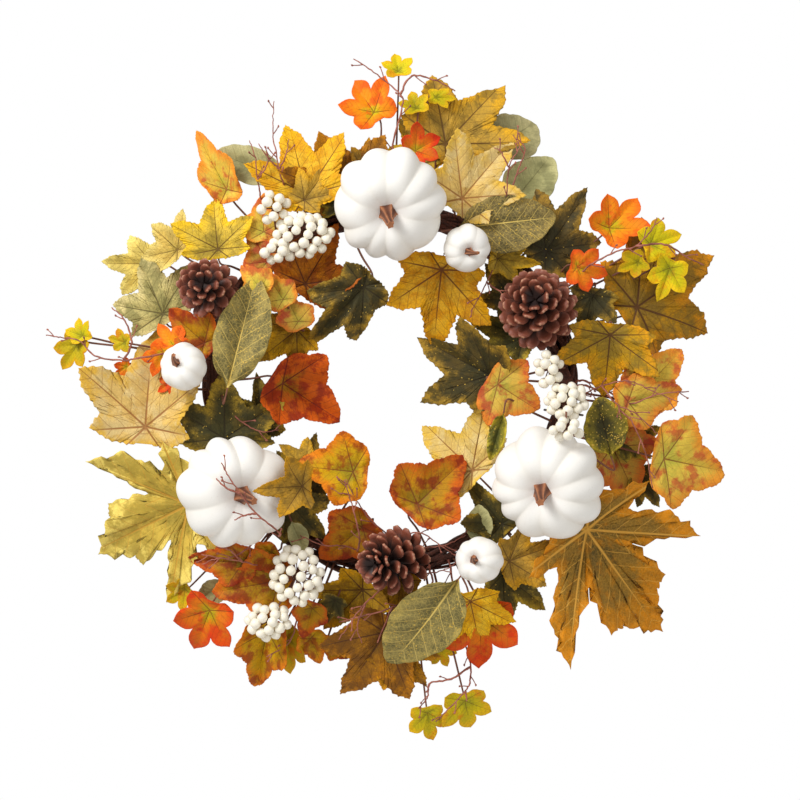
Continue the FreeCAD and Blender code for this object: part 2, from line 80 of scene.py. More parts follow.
def lights():
    """Two soft boxes, and an even pale sky that the camera sees as white."""
    for name, (place, aim, side, watts) in LIGHTS.items():
        data = bpy.data.lights.new(name, "AREA")
        data.size = side
        data.energy = watts
        lamp = bpy.data.objects.new(name, data)
        lamp.location = place
        run = np.subtract(aim, place)
        lamp.rotation_euler = (math.atan2(math.hypot(run[0], run[1]), -run[2]), 0,
                               math.atan2(run[1], run[0]) - math.pi / 2)
        bpy.context.scene.collection.objects.link(lamp)
    world = bpy.data.worlds.new("sky")
    bpy.context.scene.world = world
    world.use_nodes = True
    tree = world.node_tree
    tree.nodes.clear()
    seen = put(tree, "ShaderNodeBackground", {"Color": (1, 1, 1, 1), "Strength": 1.0})
    light = put(tree, "ShaderNodeBackground", {"Color": (1, 0.985, 0.96, 1), "Strength": SKY_STRENGTH})
    path = put(tree, "ShaderNodeLightPath")
    both = put(tree, "ShaderNodeMixShader", {0: path.outputs["Is Camera Ray"], 1: light.outputs[0],
                                             2: seen.outputs[0]})
    put(tree, "ShaderNodeOutputWorld", {"Surface": both.outputs[0]})


def floor():
    """A plain pale disc well below the wreath: a ring of points about a middle one."""
    turns = np.linspace(0, 2 * np.pi, FLOOR_SIDES, endpoint=False)
    ring = np.stack([FLOOR_RADIUS * np.cos(turns), FLOOR_RADIUS * np.sin(turns), 0 * turns], 1)
    points = np.vstack([ring, np.zeros(3)]) - [0, 0, FLOOR_DROP]
    shape = Shape()
    shape.add(points, None, fan(np.arange(FLOOR_SIDES), FLOOR_SIDES))
    disc = shape.build("floor", plain_material("floor_pale", (0.82, 0.81, 0.79, 1), 0.8))


# Meshes ------------------------------------------------------


def grid_faces(rows, columns, wrap=False):
    """Four-sided faces between neighbours of a grid; wrap joins its last column to its first."""
    row = np.arange(rows - 1)[:, None] * columns
    column = np.arange(columns if wrap else columns - 1)[None, :]
    beside = (column + 1) % columns
    corners = [row + column, row + beside, row + columns + beside, row + columns + column]
    return np.stack(corners, -1).reshape(-1, 4)


def fan(ring, middle):
    """Triangles from each side of a closed ring to one middle point."""
    return np.stack([ring, np.roll(ring, -1), np.full(len(ring), middle)], 1)


def caps(rows, columns):
    """Triangles that close the first and last row of a joined grid with the two points that follow it."""
    column, number = np.arange(columns), rows * columns
    return np.vstack([fan(column[::-1], number), fan(number - columns + column, number + 1)])


class Shape:
    """Points, faces and named values per point, gathered from many surfaces into one mesh."""

    def __init__(self):
        self.points, self.quads, self.triangles, self.fields = [], [], [], []
        self.count = 0

    def add(self, points, quads=None, triangles=None, **fields):
        points = np.asarray(points, float).reshape(-1, 3)
        self.points.append(points)
        if quads is not None:
            self.quads.append(np.asarray(quads) + self.count)
        if triangles is not None:
            self.triangles.append(np.asarray(triangles) + self.count)
        self.fields.append({name: np.broadcast_to(np.ravel(value), len(points))
                            for name, value in fields.items()})
        self.count += len(points)

    def build(self, name, material, smooth=True):
        faces = []
        for kind in (self.quads, self.triangles):
            if kind:
                faces += np.concatenate(kind).tolist()
        mesh = bpy.data.meshes.new(name)
        mesh.from_pydata(np.concatenate(self.points).tolist(), [], faces)
        for field in self.fields[0]:
            values = np.concatenate([fields[field] for fields in self.fields])
            layer = mesh.attributes.new(field, "FLOAT", "POINT")
            layer.data.foreach_set("value", values.astype(np.float32))
        mesh.polygons.foreach_set("use_smooth", np.full(len(mesh.polygons), smooth))
        mesh.materials.append(material)
        mesh.update()
        piece = bpy.data.objects.new(name, mesh)
        bpy.context.scene.collection.objects.link(piece)
        return piece


def finish_piece(piece, slot, *nodes, body=BODY):
    """The calls that every piece needs: what it moves with, and the CAD parts it stands in for, which are
    hidden. The finish slot it is given is not used.
    """
    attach(piece, body)
    if nodes:
        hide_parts(*nodes)


def thicken(piece, thickness):
    wall = piece.modifiers.new("thickness", "SOLIDIFY")
    wall.thickness = thickness
    wall.offset = 0


def unit(vectors):
    vectors = np.asarray(vectors, float)
    return vectors / np.linalg.norm(vectors, axis=-1, keepdims=True)


def smooth_path(points, steps):
    """A curve through the points: on each stretch, the cubic that meets its neighbours with one slope."""
    points = np.asarray(points, float)
    ends = np.vstack([2 * points[0] - points[1], points, 2 * points[-1] - points[-2]])
    before, start, end, after = ends[:-3], ends[1:-2], ends[2:-1], ends[3:]
    t = np.linspace(0, 1, steps, endpoint=False)[None, :, None]
    before, start, end, after = (part[:, None, :] for part in (before, start, end, after))
    curve = 0.5 * (2 * start + (end - before) * t + (2 * before - 5 * start + 4 * end - after) * t ** 2
                   + (3 * start - before - 3 * end + after) * t ** 3)
    return np.vstack([curve.reshape(-1, 3), points[-1:]])


def ring_frames(path, closed=False):
    """Two directions square to a path at each of its points, taken from one fixed slanting direction."""
    if closed:
        run = unit(np.roll(path, -1, 0) - np.roll(path, 1, 0))
    else:
        run = unit(np.gradient(path, axis=0))
    slant = unit(np.array([0.31, 0.53, 0.79]))
    side = unit(np.cross(run, slant))
    return side, np.cross(run, side)


def tube(shape, path, radii, sides=7, closed=False, **fields):
    """A tube: at each point of the path a ring of the given radius, square to it. Open ends are capped.
    A field is one value, one for each point of the path, or one for each point of the tube."""
    path = np.asarray(path, float)
    side, up = ring_frames(path, closed)
    turn = np.linspace(0, 2 * np.pi, sides, endpoint=False)
    radii = np.broadcast_to(np.asarray(radii, float), len(path))
    ring = (side[:, None] * np.cos(turn)[None, :, None] + up[:, None] * np.sin(turn)[None, :, None])
    points = (path[:, None] + ring * radii[:, None, None]).reshape(-1, 3)
    quads = grid_faces(len(path), sides, wrap=True)[:, ::-1]
    values = {name: np.repeat(value, sides) if np.size(value) == len(path) else value
              for name, value in fields.items()}
    if closed:
        first = np.arange(sides)
        last = (len(path) - 1) * sides + first
        seam = np.stack([last, np.roll(last, -1), np.roll(first, -1), first], 1)
        shape.add(points, np.vstack([quads, seam]), None, **values)
        return
    start = fan(np.arange(sides), len(points))
    end = fan((len(path) - 1) * sides + np.arange(sides)[::-1], len(points) + 1)
    values = {name: np.append(value, value[[0, -1]]) if np.ndim(value) else value
              for name, value in values.items()}
    shape.add(np.vstack([points, path[:1], path[-1:]]), quads, np.vstack([start, end]), **values)


def islands(node):
    """The separate solids of a CAD node, each as its welded points and its triangles."""
    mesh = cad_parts[node].data
    points = np.empty(len(mesh.vertices) * 3)
    mesh.vertices.foreach_get("co", points)
    mesh.calc_loop_triangles()
    triangles = np.empty(len(mesh.loop_triangles) * 3, int)
    mesh.loop_triangles.foreach_get("vertices", triangles)
    welded, index = np.unique(points.reshape(-1, 3).round(6), axis=0, return_inverse=True)
    triangles = np.ravel(index)[triangles].reshape(-1, 3)
    label = np.arange(len(welded))
    while True:
        low = label[triangles].min(1)
        spread = label.copy()
        np.minimum.at(spread, triangles.ravel(), np.repeat(low, 3))
        spread = spread[spread]
        if np.array_equal(spread, label):
            break
        label = spread
    solids = []
    for name in np.unique(label):
        mine = np.flatnonzero(label == name)
        place = np.full(len(welded), -1)
        place[mine] = np.arange(len(mine))
        solids.append((welded[mine], place[triangles[label[triangles[:, 0]] == name]]))
    return solids


# Shader helpers ----------------------------------------------


def feed(tree, socket, value):
    if isinstance(value, bpy.types.NodeSocket):
        tree.links.new(value, socket)
    else:
        socket.default_value = value


def put(tree, kind, sockets=None, **settings):
    """Adds a node; each socket gets a link or a plain value."""
    made = tree.nodes.new(kind)
    for name, value in settings.items():
        setattr(made, name, value)
    for name, value in (sockets or {}).items():
        feed(tree, made.inputs[name], value)
    return made


def calc(tree, operation, *values, clamp=False):
    return put(tree, "ShaderNodeMath", dict(enumerate(values)), operation=operation,
               use_clamp=clamp).outputs[0]


def ramp(tree, value, low, high, start=0.0, end=1.0):
    """Carries a value smoothly from one level to another between two limits."""
    return put(tree, "ShaderNodeMapRange", {"Value": value, "From Min": low, "From Max": high,
                                            "To Min": start, "To Max": end},
               interpolation_type="SMOOTHSTEP").outputs["Result"]


def blend(tree, share, first, second):
    """Mixes two colours; a Mix node's sockets 6 and 7 take them, and its output 2 gives the colour."""
    return put(tree, "ShaderNodeMix", {0: share, 6: first, 7: second}, data_type="RGBA").outputs[2]


def object_place(tree):
    return put(tree, "ShaderNodeTexCoord").outputs["Object"]


def noise(tree, place, scale, detail=3.0, roughness=0.55):
    return put(tree, "ShaderNodeTexNoise", {"Vector": place, "Scale": scale, "Detail": detail,
                                            "Roughness": roughness}).outputs["Fac"]


def field(tree, name):
    return put(tree, "ShaderNodeAttribute", attribute_name=name).outputs["Fac"]


def new_group(name, inputs, outputs):
    """An empty shader group with named number sockets, its inputs as (name, default)."""
    tree = bpy.data.node_groups.new(name, "ShaderNodeTree")
    for socket, default in inputs:
        made = tree.interface.new_socket(socket, in_out="INPUT", socket_type="NodeSocketFloat")
        made.default_value = default
    for socket in outputs:
        tree.interface.new_socket(socket, in_out="OUTPUT", socket_type="NodeSocketFloat")
    return tree, tree.nodes.new("NodeGroupInput"), tree.nodes.new("NodeGroupOutput")


def use_group(tree, name, values=None):
    return put(tree, "ShaderNodeGroup", values, node_tree=bpy.data.node_groups[name])


def vein_group():
    """Leaf veins from the distance along the nearest main vein and the distance aside from it.
    Main: a line that thins towards its end. Side: slanting lines at an even spacing off the main vein.
    Net: the walls of small cells between them."""
    tree, take, give = new_group("leaf_veins", [("Along", 0), ("Aside", 0), ("Width", 0.012),
                                                ("Spacing", 0.13), ("Net Scale", 330)],
                                 ["Main", "Side", "Net"])
    along, aside, width, spacing, net_scale = take.outputs[:5]
    place = object_place(tree)
    wander = calc(tree, "SUBTRACT", noise(tree, place, 90, 2), 0.5)
    thin = calc(tree, "MULTIPLY", width, calc(tree, "SUBTRACT", 1.15, along))
    main = ramp(tree, aside, calc(tree, "MULTIPLY", thin, 0.45), calc(tree, "ADD", thin, 0.002), 1, 0)
    slant = calc(tree, "SUBTRACT", along, calc(tree, "MULTIPLY", aside, 0.85))
    slant = calc(tree, "ADD", slant, calc(tree, "MULTIPLY", wander, 0.05))
    turn = calc(tree, "FRACT", calc(tree, "DIVIDE", slant, spacing))
    off = calc(tree, "ABSOLUTE", calc(tree, "SUBTRACT", turn, 0.5))
    line = ramp(tree, calc(tree, "MULTIPLY", off, spacing), calc(tree, "MULTIPLY", width, 0.10),
                calc(tree, "MULTIPLY", width, 0.55), 1, 0)
    side = calc(tree, "MULTIPLY", line, ramp(tree, aside, 0.12, 0.42, 1, 0.15))
    shift = put(tree, "ShaderNodeTexNoise", {"Vector": place, "Scale": 260.0, "Detail": 2.0})
    pulled = put(tree, "ShaderNodeVectorMath", {0: shift.outputs["Color"], 1: (0.0035,) * 3},
                 operation="MULTIPLY")
    bent = put(tree, "ShaderNodeVectorMath", {0: place, 1: pulled.outputs[0]}, operation="ADD")
    cells = put(tree, "ShaderNodeTexVoronoi", {"Vector": bent.outputs[0], "Scale": net_scale},
                feature="DISTANCE_TO_EDGE")
    net = ramp(tree, cells.outputs["Distance"], 0.02, 0.14, 1, 0)
    for value, socket in ((main, 0), (side, 1), (net, 2)):
        tree.links.new(value, give.inputs[socket])


def weave_group():
    """The height of a fine cloth: two crossing waves, broken by a fine grain."""
    tree, take, give = new_group("cloth_weave", [("Threads", 1500)], ["Height"])
    place = object_place(tree)
    across = put(tree, "ShaderNodeTexWave", {"Vector": place, "Scale": take.outputs[0],
                                             "Distortion": 0.6}, bands_direction="X")
    down = put(tree, "ShaderNodeTexWave", {"Vector": place, "Scale": take.outputs[0],
                                           "Distortion": 0.6}, bands_direction="Z")
    both = calc(tree, "ADD", across.outputs["Fac"], down.outputs["Fac"])
    grain = noise(tree, place, 1400, 2)
    tree.links.new(calc(tree, "ADD", both, grain), give.inputs[0])


def patch_group():
    """Soft-edged patches: noise of one size, cut at a level."""
    tree, take, give = new_group("patches", [("Scale", 40), ("Level", 0.55), ("Softness", 0.08)], ["Mask"])
    scale, level, soft = take.outputs[:3]
    place = object_place(tree)
    cloud = noise(tree, place, scale, 5, 0.6)
    mask = ramp(tree, cloud, calc(tree, "SUBTRACT", level, soft), calc(tree, "ADD", level, soft))
    tree.links.new(mask, give.inputs[0])


def dust_group():
    """Glitter: single small cells picked out at random, more of them where the noise is high."""
    tree, take, give = new_group("gold_dust", [("Scale", 1100), ("Amount", 0.3)], ["Mask"])
    place = object_place(tree)
    cells = put(tree, "ShaderNodeTexVoronoi", {"Vector": place, "Scale": take.outputs[0]})
    pick = put(tree, "ShaderNodeSeparateColor", {"Color": cells.outputs["Color"]}).outputs[0]
    crowd = noise(tree, place, 55, 3)
    level = calc(tree, "MULTIPLY", take.outputs[1], ramp(tree, crowd, 0.35, 0.65, 0.3, 1.5))
    tree.links.new(calc(tree, "LESS_THAN", pick, level), give.inputs[0])


def wear_group():
    """Uneven tone: two sizes of noise, from 0 to 1 about one half."""
    tree, take, give = new_group("uneven_tone", [("Scale", 60)], ["Tone"])
    place = object_place(tree)
    coarse = noise(tree, place, take.outputs[0], 4)
    fine = noise(tree, place, calc(tree, "MULTIPLY", take.outputs[0], 9), 3)
    both = calc(tree, "ADD", calc(tree, "MULTIPLY", coarse, 0.65), calc(tree, "MULTIPLY", fine, 0.35))
    tree.links.new(both, give.inputs[0])


def new_material(name, roughness):
    material = bpy.data.materials.new(name)
    material.use_nodes = True
    tree = material.node_tree
    shader = tree.nodes["Principled BSDF"]
    shader.inputs["Roughness"].default_value = roughness
    return material, tree, shader


def bump(tree, shader, height, strength, distance):
    made = put(tree, "ShaderNodeBump", {"Height": height, "Strength": strength, "Distance": distance})
    tree.links.new(made.outputs[0], shader.inputs["Normal"])


def toned_material(name, roughness, scale, dark, pale, relief, low=None, high=None):
    """One uneven tone carries the colour from dark to pale, sharpened between two levels where they are
    given, and the same tone is the relief, given as strength and depth."""
    material, tree, shader = new_material(name, roughness)
    tone = use_group(tree, "uneven_tone", {"Scale": scale}).outputs[0]
    share = tone if low is None else ramp(tree, tone, low, high)
    tree.links.new(blend(tree, share, srgb(*dark), srgb(*pale)), shader.inputs["Base Color"])
    bump(tree, shader, tone, *relief)
    return material


def plain_material(name, colour, roughness):
    """A pale studio surface with a barely uneven tone."""
    material, tree, shader = new_material(name, roughness)
    tone = use_group(tree, "uneven_tone", {"Scale": 6}).outputs[0]
    shade = blend(tree, tone, tuple(0.97 * part for part in colour[:3]) + (1,), colour)
    tree.links.new(shade, shader.inputs["Base Color"])
    return material


# Leaf materials ----------------------------------------------

# Each finish: the colour by the stalk, in the blade and at the rim; blotches and how common they are;
# vein colour and how strongly the main veins, side veins and net show; and gold dust.
LEAF_FINISHES = {
    "leaf_golden": dict(
        heart=(206, 160, 62), blade=(236, 184, 58), rim=(238, 176, 40), blotch=(214, 146, 30), spots=0.52,
        vein=(104, 54, 22), main=0.9, side=0.62, net=0.22),
    "leaf_brown_gold": dict(
        heart=(140, 106, 36), blade=(182, 132, 36), rim=(212, 148, 26), blotch=(134, 92, 24), spots=0.52,
        vein=(80, 42, 18), main=0.85, side=0.55, net=0.24),
    "leaf_orange_gold": dict(
        heart=(188, 124, 24), blade=(220, 144, 20), rim=(212, 124, 12), blotch=(168, 92, 12), spots=0.52,
        vein=(84, 38, 14), main=0.9, side=0.6, net=0.24),
    "leaf_russet": dict(
        heart=(154, 120, 40), blade=(192, 144, 34), rim=(230, 156, 20), blotch=(142, 114, 38), spots=0.50,
        vein=(84, 48, 20), main=0.9, side=0.55, net=0.22),
    "leaf_beige": dict(
        heart=(220, 186, 106), blade=(240, 208, 122), rim=(242, 202, 84), blotch=(244, 220, 150), spots=0.52,
        vein=(150, 92, 40), main=0.85, side=0.55, net=0.16),
    "leaf_pale_yellow": dict(
        heart=(200, 176, 84), blade=(236, 204, 104), rim=(246, 222, 128), blotch=(202, 178, 92), spots=0.54,
        vein=(116, 84, 34), main=0.8, side=0.5, net=0.17),
    "leaf_grey_green": dict(
        heart=(160, 152, 84), blade=(214, 200, 124), rim=(236, 220, 148), blotch=(152, 146, 84), spots=0.52,
        vein=(90, 78, 40), main=0.85, side=0.6, net=0.22),
    "leaf_olive": dict(
        heart=(164, 134, 54), blade=(212, 172, 68), rim=(234, 182, 52), blotch=(156, 128, 52), spots=0.54,
        vein=(88, 56, 22), main=0.8, side=0.55, net=0.20),
    "leaf_dark_green": dict(
        heart=(76, 70, 32), blade=(98, 84, 36), rim=(190, 156, 56), blotch=(60, 58, 28), spots=0.50,
        vein=(44, 34, 16), main=0.7, side=0.45, net=0.18, dust=0.008),
    "leaf_sage": dict(
        heart=(158, 154, 104), blade=(186, 180, 126), rim=(204, 196, 142), blotch=(150, 146, 100), spots=0.56,
        vein=(112, 108, 66), main=0.6, side=0.4, net=0.10),
    "leaf_lobed_yellow": dict(
        heart=(142, 118, 46), blade=(200, 164, 76), rim=(234, 204, 112), blotch=(162, 134, 58), spots=0.50,
        vein=(206, 156, 56), main=0.85, side=0.65, net=0.16),
    "leaf_lobed_dark": dict(
        heart=(108, 92, 38), blade=(154, 122, 44), rim=(240, 162, 28), blotch=(190, 134, 36), spots=0.56,
        vein=(230, 172, 70), main=0.85, side=0.7, net=0.20),
    "leaf_magnolia": dict(
        heart=(120, 108, 62), blade=(136, 122, 72), rim=(166, 146, 80), blotch=(100, 92, 54), spots=0.5,
        vein=(230, 200, 108), main=0.9, side=0.65, net=0.22, dust=0.05),
    "leaf_mottled": dict(
        heart=(196, 184, 76), blade=(224, 188, 80), rim=(240, 150, 62), blotch=(198, 78, 56), spots=0.57,
        vein=(128, 58, 34), main=0.75, side=0.4, net=0.10),
    "leaf_mottled_gold": dict(
        heart=(164, 140, 34), blade=(204, 156, 30), rim=(226, 122, 20), blotch=(150, 52, 18), spots=0.54,
        vein=(110, 46, 20), main=0.75, side=0.45, net=0.14),
    "leaf_red": dict(
        heart=(166, 116, 28), blade=(208, 96, 24), rim=(226, 100, 18), blotch=(146, 36, 16), spots=0.50,
        vein=(100, 26, 16), main=0.85, side=0.55, net=0.12),
    "leaf_curled": dict(
        heart=(86, 84, 34), blade=(128, 116, 42), rim=(196, 170, 60), blotch=(72, 72, 30), spots=0.54,
        vein=(70, 60, 26), main=0.6, side=0.4, net=0.16, dust=0.03),
    "leaf_speckled": dict(
        heart=(64, 58, 24), blade=(112, 98, 32), rim=(178, 152, 46), blotch=(58, 54, 24), spots=0.5,
        vein=(46, 36, 18), main=0.75, side=0.45, net=0.16, dust=0.08),
    "leaf_orange_ivy": dict(
        heart=(196, 176, 34), blade=(238, 134, 14), rim=(242, 98, 6), blotch=(230, 74, 6), spots=0.56,
        vein=(120, 46, 14), main=0.75, side=0.4, net=0.08),
    "leaf_green_ivy": dict(
        heart=(164, 160, 32), blade=(208, 188, 36), rim=(230, 184, 36), blotch=(226, 138, 22), spots=0.60,
        vein=(120, 80, 22), main=0.7, side=0.4, net=0.08),
}
GOLD = srgb(226, 188, 84)


def leaf_material(name, heart, blade, rim, blotch, spots, vein, main, side, net, dust=0.0):
    """Printed cloth: colour runs from the stalk through the blade to the rim, broken by blotches, with
    the three kinds of vein printed over it and pressed into the cloth."""
    material, tree, shader = new_material(name, 0.62)
    shader.inputs["Specular IOR Level"].default_value = 0.28
    along, aside, edge, shade = (field(tree, value) for value in ("along", "aside", "edge", "shade"))
    tone = use_group(tree, "uneven_tone", {"Scale": 75}).outputs[0]
    ragged = calc(tree, "ADD", edge, calc(tree, "MULTIPLY", calc(tree, "SUBTRACT", tone, 0.5), 0.9))
    colour = blend(tree, ramp(tree, ragged, 0.12, 0.5), srgb(*heart), srgb(*blade))
    colour = blend(tree, ramp(tree, ragged, 0.6, 0.98), colour, srgb(*rim))
    mask = use_group(tree, "patches", {"Scale": 70, "Level": spots, "Softness": 0.07}).outputs[0]
    colour = blend(tree, calc(tree, "MULTIPLY", mask, 0.8), colour, srgb(*blotch))
    light = calc(tree, "ADD", 0.74, calc(tree, "MULTIPLY", shade, 0.40))
    light = calc(tree, "ADD", light, calc(tree, "MULTIPLY", calc(tree, "SUBTRACT", tone, 0.5), 0.8))
    warm = put(tree, "ShaderNodeHueSaturation",
               {"Hue": calc(tree, "ADD", 0.486, calc(tree, "MULTIPLY", shade, 0.026)), "Saturation": 1.03,
                "Value": light, "Color": colour}).outputs[0]
    veins = use_group(tree, "leaf_veins", {"Along": along, "Aside": aside})
    print_mask = calc(tree, "MAXIMUM", calc(tree, "MULTIPLY", veins.outputs["Main"], main),
                      calc(tree, "MULTIPLY", veins.outputs["Side"], side))
    net_mask = calc(tree, "MULTIPLY", veins.outputs["Net"], calc(tree, "MULTIPLY", tone, 2 * net))
    colour = blend(tree, calc(tree, "MAXIMUM", print_mask, net_mask, clamp=True), warm, srgb(*vein))
    if dust:
        gilt = use_group(tree, "gold_dust", {"Amount": dust}).outputs[0]
        near = calc(tree, "MAXIMUM", veins.outputs["Side"], veins.outputs["Main"])
        gilt = calc(tree, "MULTIPLY", gilt, ramp(tree, near, 0.0, 0.5, 0.7, 1.0))
        colour = blend(tree, gilt, colour, GOLD)
        tree.links.new(calc(tree, "MULTIPLY", gilt, 0.6), shader.inputs["Metallic"])
    tree.links.new(colour, shader.inputs["Base Color"])
    tree.links.new(calc(tree, "ADD", 0.5, calc(tree, "MULTIPLY", tone, 0.3)), shader.inputs["Roughness"])
    weave = use_group(tree, "cloth_weave").outputs[0]
    pressed = calc(tree, "ADD", calc(tree, "MULTIPLY", veins.outputs["Main"], -1.0),
                   calc(tree, "MULTIPLY", veins.outputs["Side"], -0.6))
    pressed = calc(tree, "ADD", pressed, calc(tree, "MULTIPLY", veins.outputs["Net"], -0.15))
    height = calc(tree, "ADD", pressed, calc(tree, "MULTIPLY", weave, 0.05))
    bump(tree, shader, height, 0.55, 0.0006)
    return material


# Leaves ------------------------------------------------------

# One half of each outline as cut, from the tip round to the stalk: degrees from the midrib, and
# distance from the stalk's end as a part of the length. The CAD plates have the same corners.
HALF_OUTLINES = {
    "maple": [(0, 1.0), (13, 0.70), (25, 0.50), (37, 0.68), (50, 0.84), (63, 0.60), (77, 0.42),
              (97, 0.54), (122, 0.34), (155, 0.20)],
    "lobed": [(0, 1.0), (13, 0.66), (24, 0.70), (36, 0.24), (49, 0.86), (66, 0.56), (80, 0.24),
              (97, 0.54), (128, 0.24), (160, 0.13)],
    "grape": [(0, 1.0), (14, 0.80), (30, 0.60), (48, 0.60), (68, 0.68), (84, 0.52), (112, 0.44),
              (150, 0.26)],
    "ivy": [(0, 1.0), (22, 0.55), (50, 0.84), (76, 0.46), (118, 0.56), (155, 0.28)],
    "oval": [(0, 1.0), (7.6, 0.91), (18.9, 0.74), (30, 0.58), (40, 0.39), (49, 0.18)],
}
MAIN_VEINS = {"maple": (0, 50, 97, 140), "lobed": (0, 49, 97, 140), "grape": (0, 68, 115),
              "ivy": (0, 50, 118), "oval": (0,)}
TEETH = {"maple": (0.07, 0.022), "lobed": (0.17, 0.055), "grape": (0.075, 0.014), "ivy": (0.5, 0.0),
         "oval": (0.5, 0.0)}  # the length of a tooth and how far it stands out
SWELLS = {"maple": (0.15, 0.30), "lobed": (0.16, 0.45), "grape": (0.10, -0.4), "ivy": (0.13, -0.8),
          "oval": (0.10, 0.0)}  # how far an edge swells, and how far from the lobe's tip it is hollow

IVY_SIDES = ("top", "left", "right", "bottom")
LEAF_NODES = {  # node: outline, finish, how much the leaves curl
    "golden_maple_leaves": ("maple", "leaf_golden", 1.0),
    "brown_gold_maple_leaves": ("maple", "leaf_brown_gold", 1.0),
    "orange_gold_maple_leaf": ("maple", "leaf_orange_gold", 0.9),
    "russet_maple_leaves": ("maple", "leaf_russet", 1.0),
    "beige_maple_leaves": ("maple", "leaf_beige", 1.0),
    "pale_yellow_maple_leaves": ("maple", "leaf_pale_yellow", 1.0),
    "grey_green_maple_leaf": ("maple", "leaf_grey_green", 1.0),
    "olive_maple_leaves": ("maple", "leaf_olive", 0.9),
    "dark_green_leaves_left": ("maple", "leaf_dark_green", 0.7),
    "dark_green_leaves_right": ("maple", "leaf_dark_green", 0.8),
    "hole_leaves": ("maple", "leaf_dark_green", 1.2),
    "sage_leaves": ("oval", "leaf_sage", 0.8),
    "lobed_leaf_left": ("lobed", "leaf_lobed_yellow", 0.9),
    "lobed_leaf_right": ("lobed", "leaf_lobed_dark", 0.9),
    "magnolia_leaf_left": ("oval", "leaf_magnolia", 1.0),
    "magnolia_leaf_top": ("oval", "leaf_magnolia", 1.0),
    "magnolia_leaf_bottom": ("oval", "leaf_magnolia", 1.0),
    "mottled_leaves_top_left": ("grape", "leaf_mottled", 1.0),
    "mottled_leaf_left": ("grape", "leaf_mottled_gold", 1.0),
    "red_leaf_inside": ("grape", "leaf_red", 1.2),
    "mottled_leaves_hole": ("grape", "leaf_mottled_gold", 1.1),
    "mottled_leaves_lower_left": ("grape", "leaf_mottled_gold", 1.0),
    "mottled_leaves_right": ("grape", "leaf_mottled", 1.0),
    "curled_leaf_right": ("oval", "leaf_curled", 1.6),
    "speckled_leaf_right": ("oval", "leaf_speckled", 1.0),
    **{f"orange_ivy_leaves_{side}": ("ivy", "leaf_orange_ivy", 1.0) for side in IVY_SIDES},
    **{f"green_ivy_leaves_{side}": ("ivy", "leaf_green_ivy", 1.0) for side in IVY_SIDES},
    "small_mottled_leaves": ("grape", "leaf_mottled_gold", 1.0),
}
LEAF_SEED = 40
CLOTH = 0.45 * MM
DOOR_GAP = 1.5 * MM


def half_points(kind):
    """The half outline as distances along the midrib and aside from it."""
    angle, reach = np.array(HALF_OUTLINES[kind]).T
    angle = np.radians(angle)
    return np.stack([reach * np.cos(angle), reach * np.sin(angle)], 1)


class Leaf:
    """Where a leaf's plate lies, read from the CAD plate: its one axis of symmetry runs through the tip."""

    def __init__(self, points, triangles, kind):
        corners = points[triangles]
        spans = np.cross(corners[:, 1] - corners[:, 0], corners[:, 2] - corners[:, 0])
        sizes = np.linalg.norm(spans, axis=1)
        self.front = spans[sizes.argmax()] / sizes.max()
        if self.front[1] > 0:
            self.front = -self.front
        height = points @ self.front
        on_front = height > height.max() - 1e-5
        facing = on_front[triangles].all(1)
        middle = np.average(corners[facing].mean(1), axis=0, weights=sizes[facing])
        rim = points[on_front] - middle
        errors = []
        for corner in rim:
            axis = unit(corner)
            side = np.cross(self.front, axis)
            flat = np.stack([rim @ axis, rim @ side], 1)
            gaps = np.linalg.norm(flat[:, None] - (flat * [1, -1])[None], axis=2)
            errors.append(gaps.min(1).sum())
        self.along = unit(rim[int(np.argmin(errors))])
        self.across = np.cross(self.front, self.along)
        reach = rim @ self.along
        half = half_points(kind)
        self.length = (reach.max() - reach.min()) / (1 - half[:, 0].min())
        self.stalk = middle + self.along * (reach.max() - self.length)
        self.width = np.abs(rim @ self.across).max() / (self.length * half[:, 1].max())

    def place(self, flat, height):
        """Points on the leaf from their place on the unit outline and their height above the plate."""
        return (self.stalk + flat[..., :1] * self.along * self.length
                + flat[..., 1:] * self.across * self.length * self.width
                + height[..., None] * self.front * self.length)


def leaf_rim(kind, samples, chance):
    """The outline as cut. Between its corners each edge swells next to the notch and hollows next to the
    lobe's tip, which leaves the tip pointed, and carries saw teeth that point to the tip. The other half
    is its mirror image. The whole is then pulled a little out of true."""
    half = half_points(kind)
    if kind == "oval":
        half = np.vstack([half, [[0.02, 0.006]]])
    start, end = half[:-1], half[1:]
    run = end - start
    length = np.linalg.norm(run, axis=1)[:, None]
    out = np.stack([-run[:, 1], run[:, 0]], 1) / length
    out = out * np.sign((out * (start + end)).sum(1))[:, None]
    e = (np.arange(samples) / samples)[None, :]
    falling = (np.linalg.norm(start, axis=1) > np.linalg.norm(end, axis=1))[:, None]
    from_tip = np.where(falling, e, 1 - e)
    tooth, stand = TEETH[kind]
    number = np.maximum(1, np.round(length / tooth))
    saw = (from_tip * number) % 1.0
    lift = stand * saw * np.clip(from_tip * 5, 0, 1) * chance.uniform(0.5, 1.4, (len(half) - 1, samples))
    depth, hollow = SWELLS[kind]
    swell = length * depth * np.sin(np.pi * from_tip) * (1 if kind == "oval" else from_tip - hollow)
    right = (start[:, None] + run[:, None] * e[..., None]
             + (lift + swell)[..., None] * out[:, None]).reshape(-1, 2)
    right = np.vstack([right, half[-1:]])
    left = right[:0:-1] * [1, -1]
    rim = np.vstack([right, left])
    phase = chance.uniform(0, 2 * np.pi, 4)
    pull = 0.035 if kind == "oval" else 0.05
    bend = np.stack([np.sin(3 * rim[:, 1] + phase[0]) * pull, np.sin(3.2 * rim[:, 0] + phase[1]) * pull], 1)
    away = np.linalg.norm(rim, axis=1, keepdims=True)
    return rim + bend * away


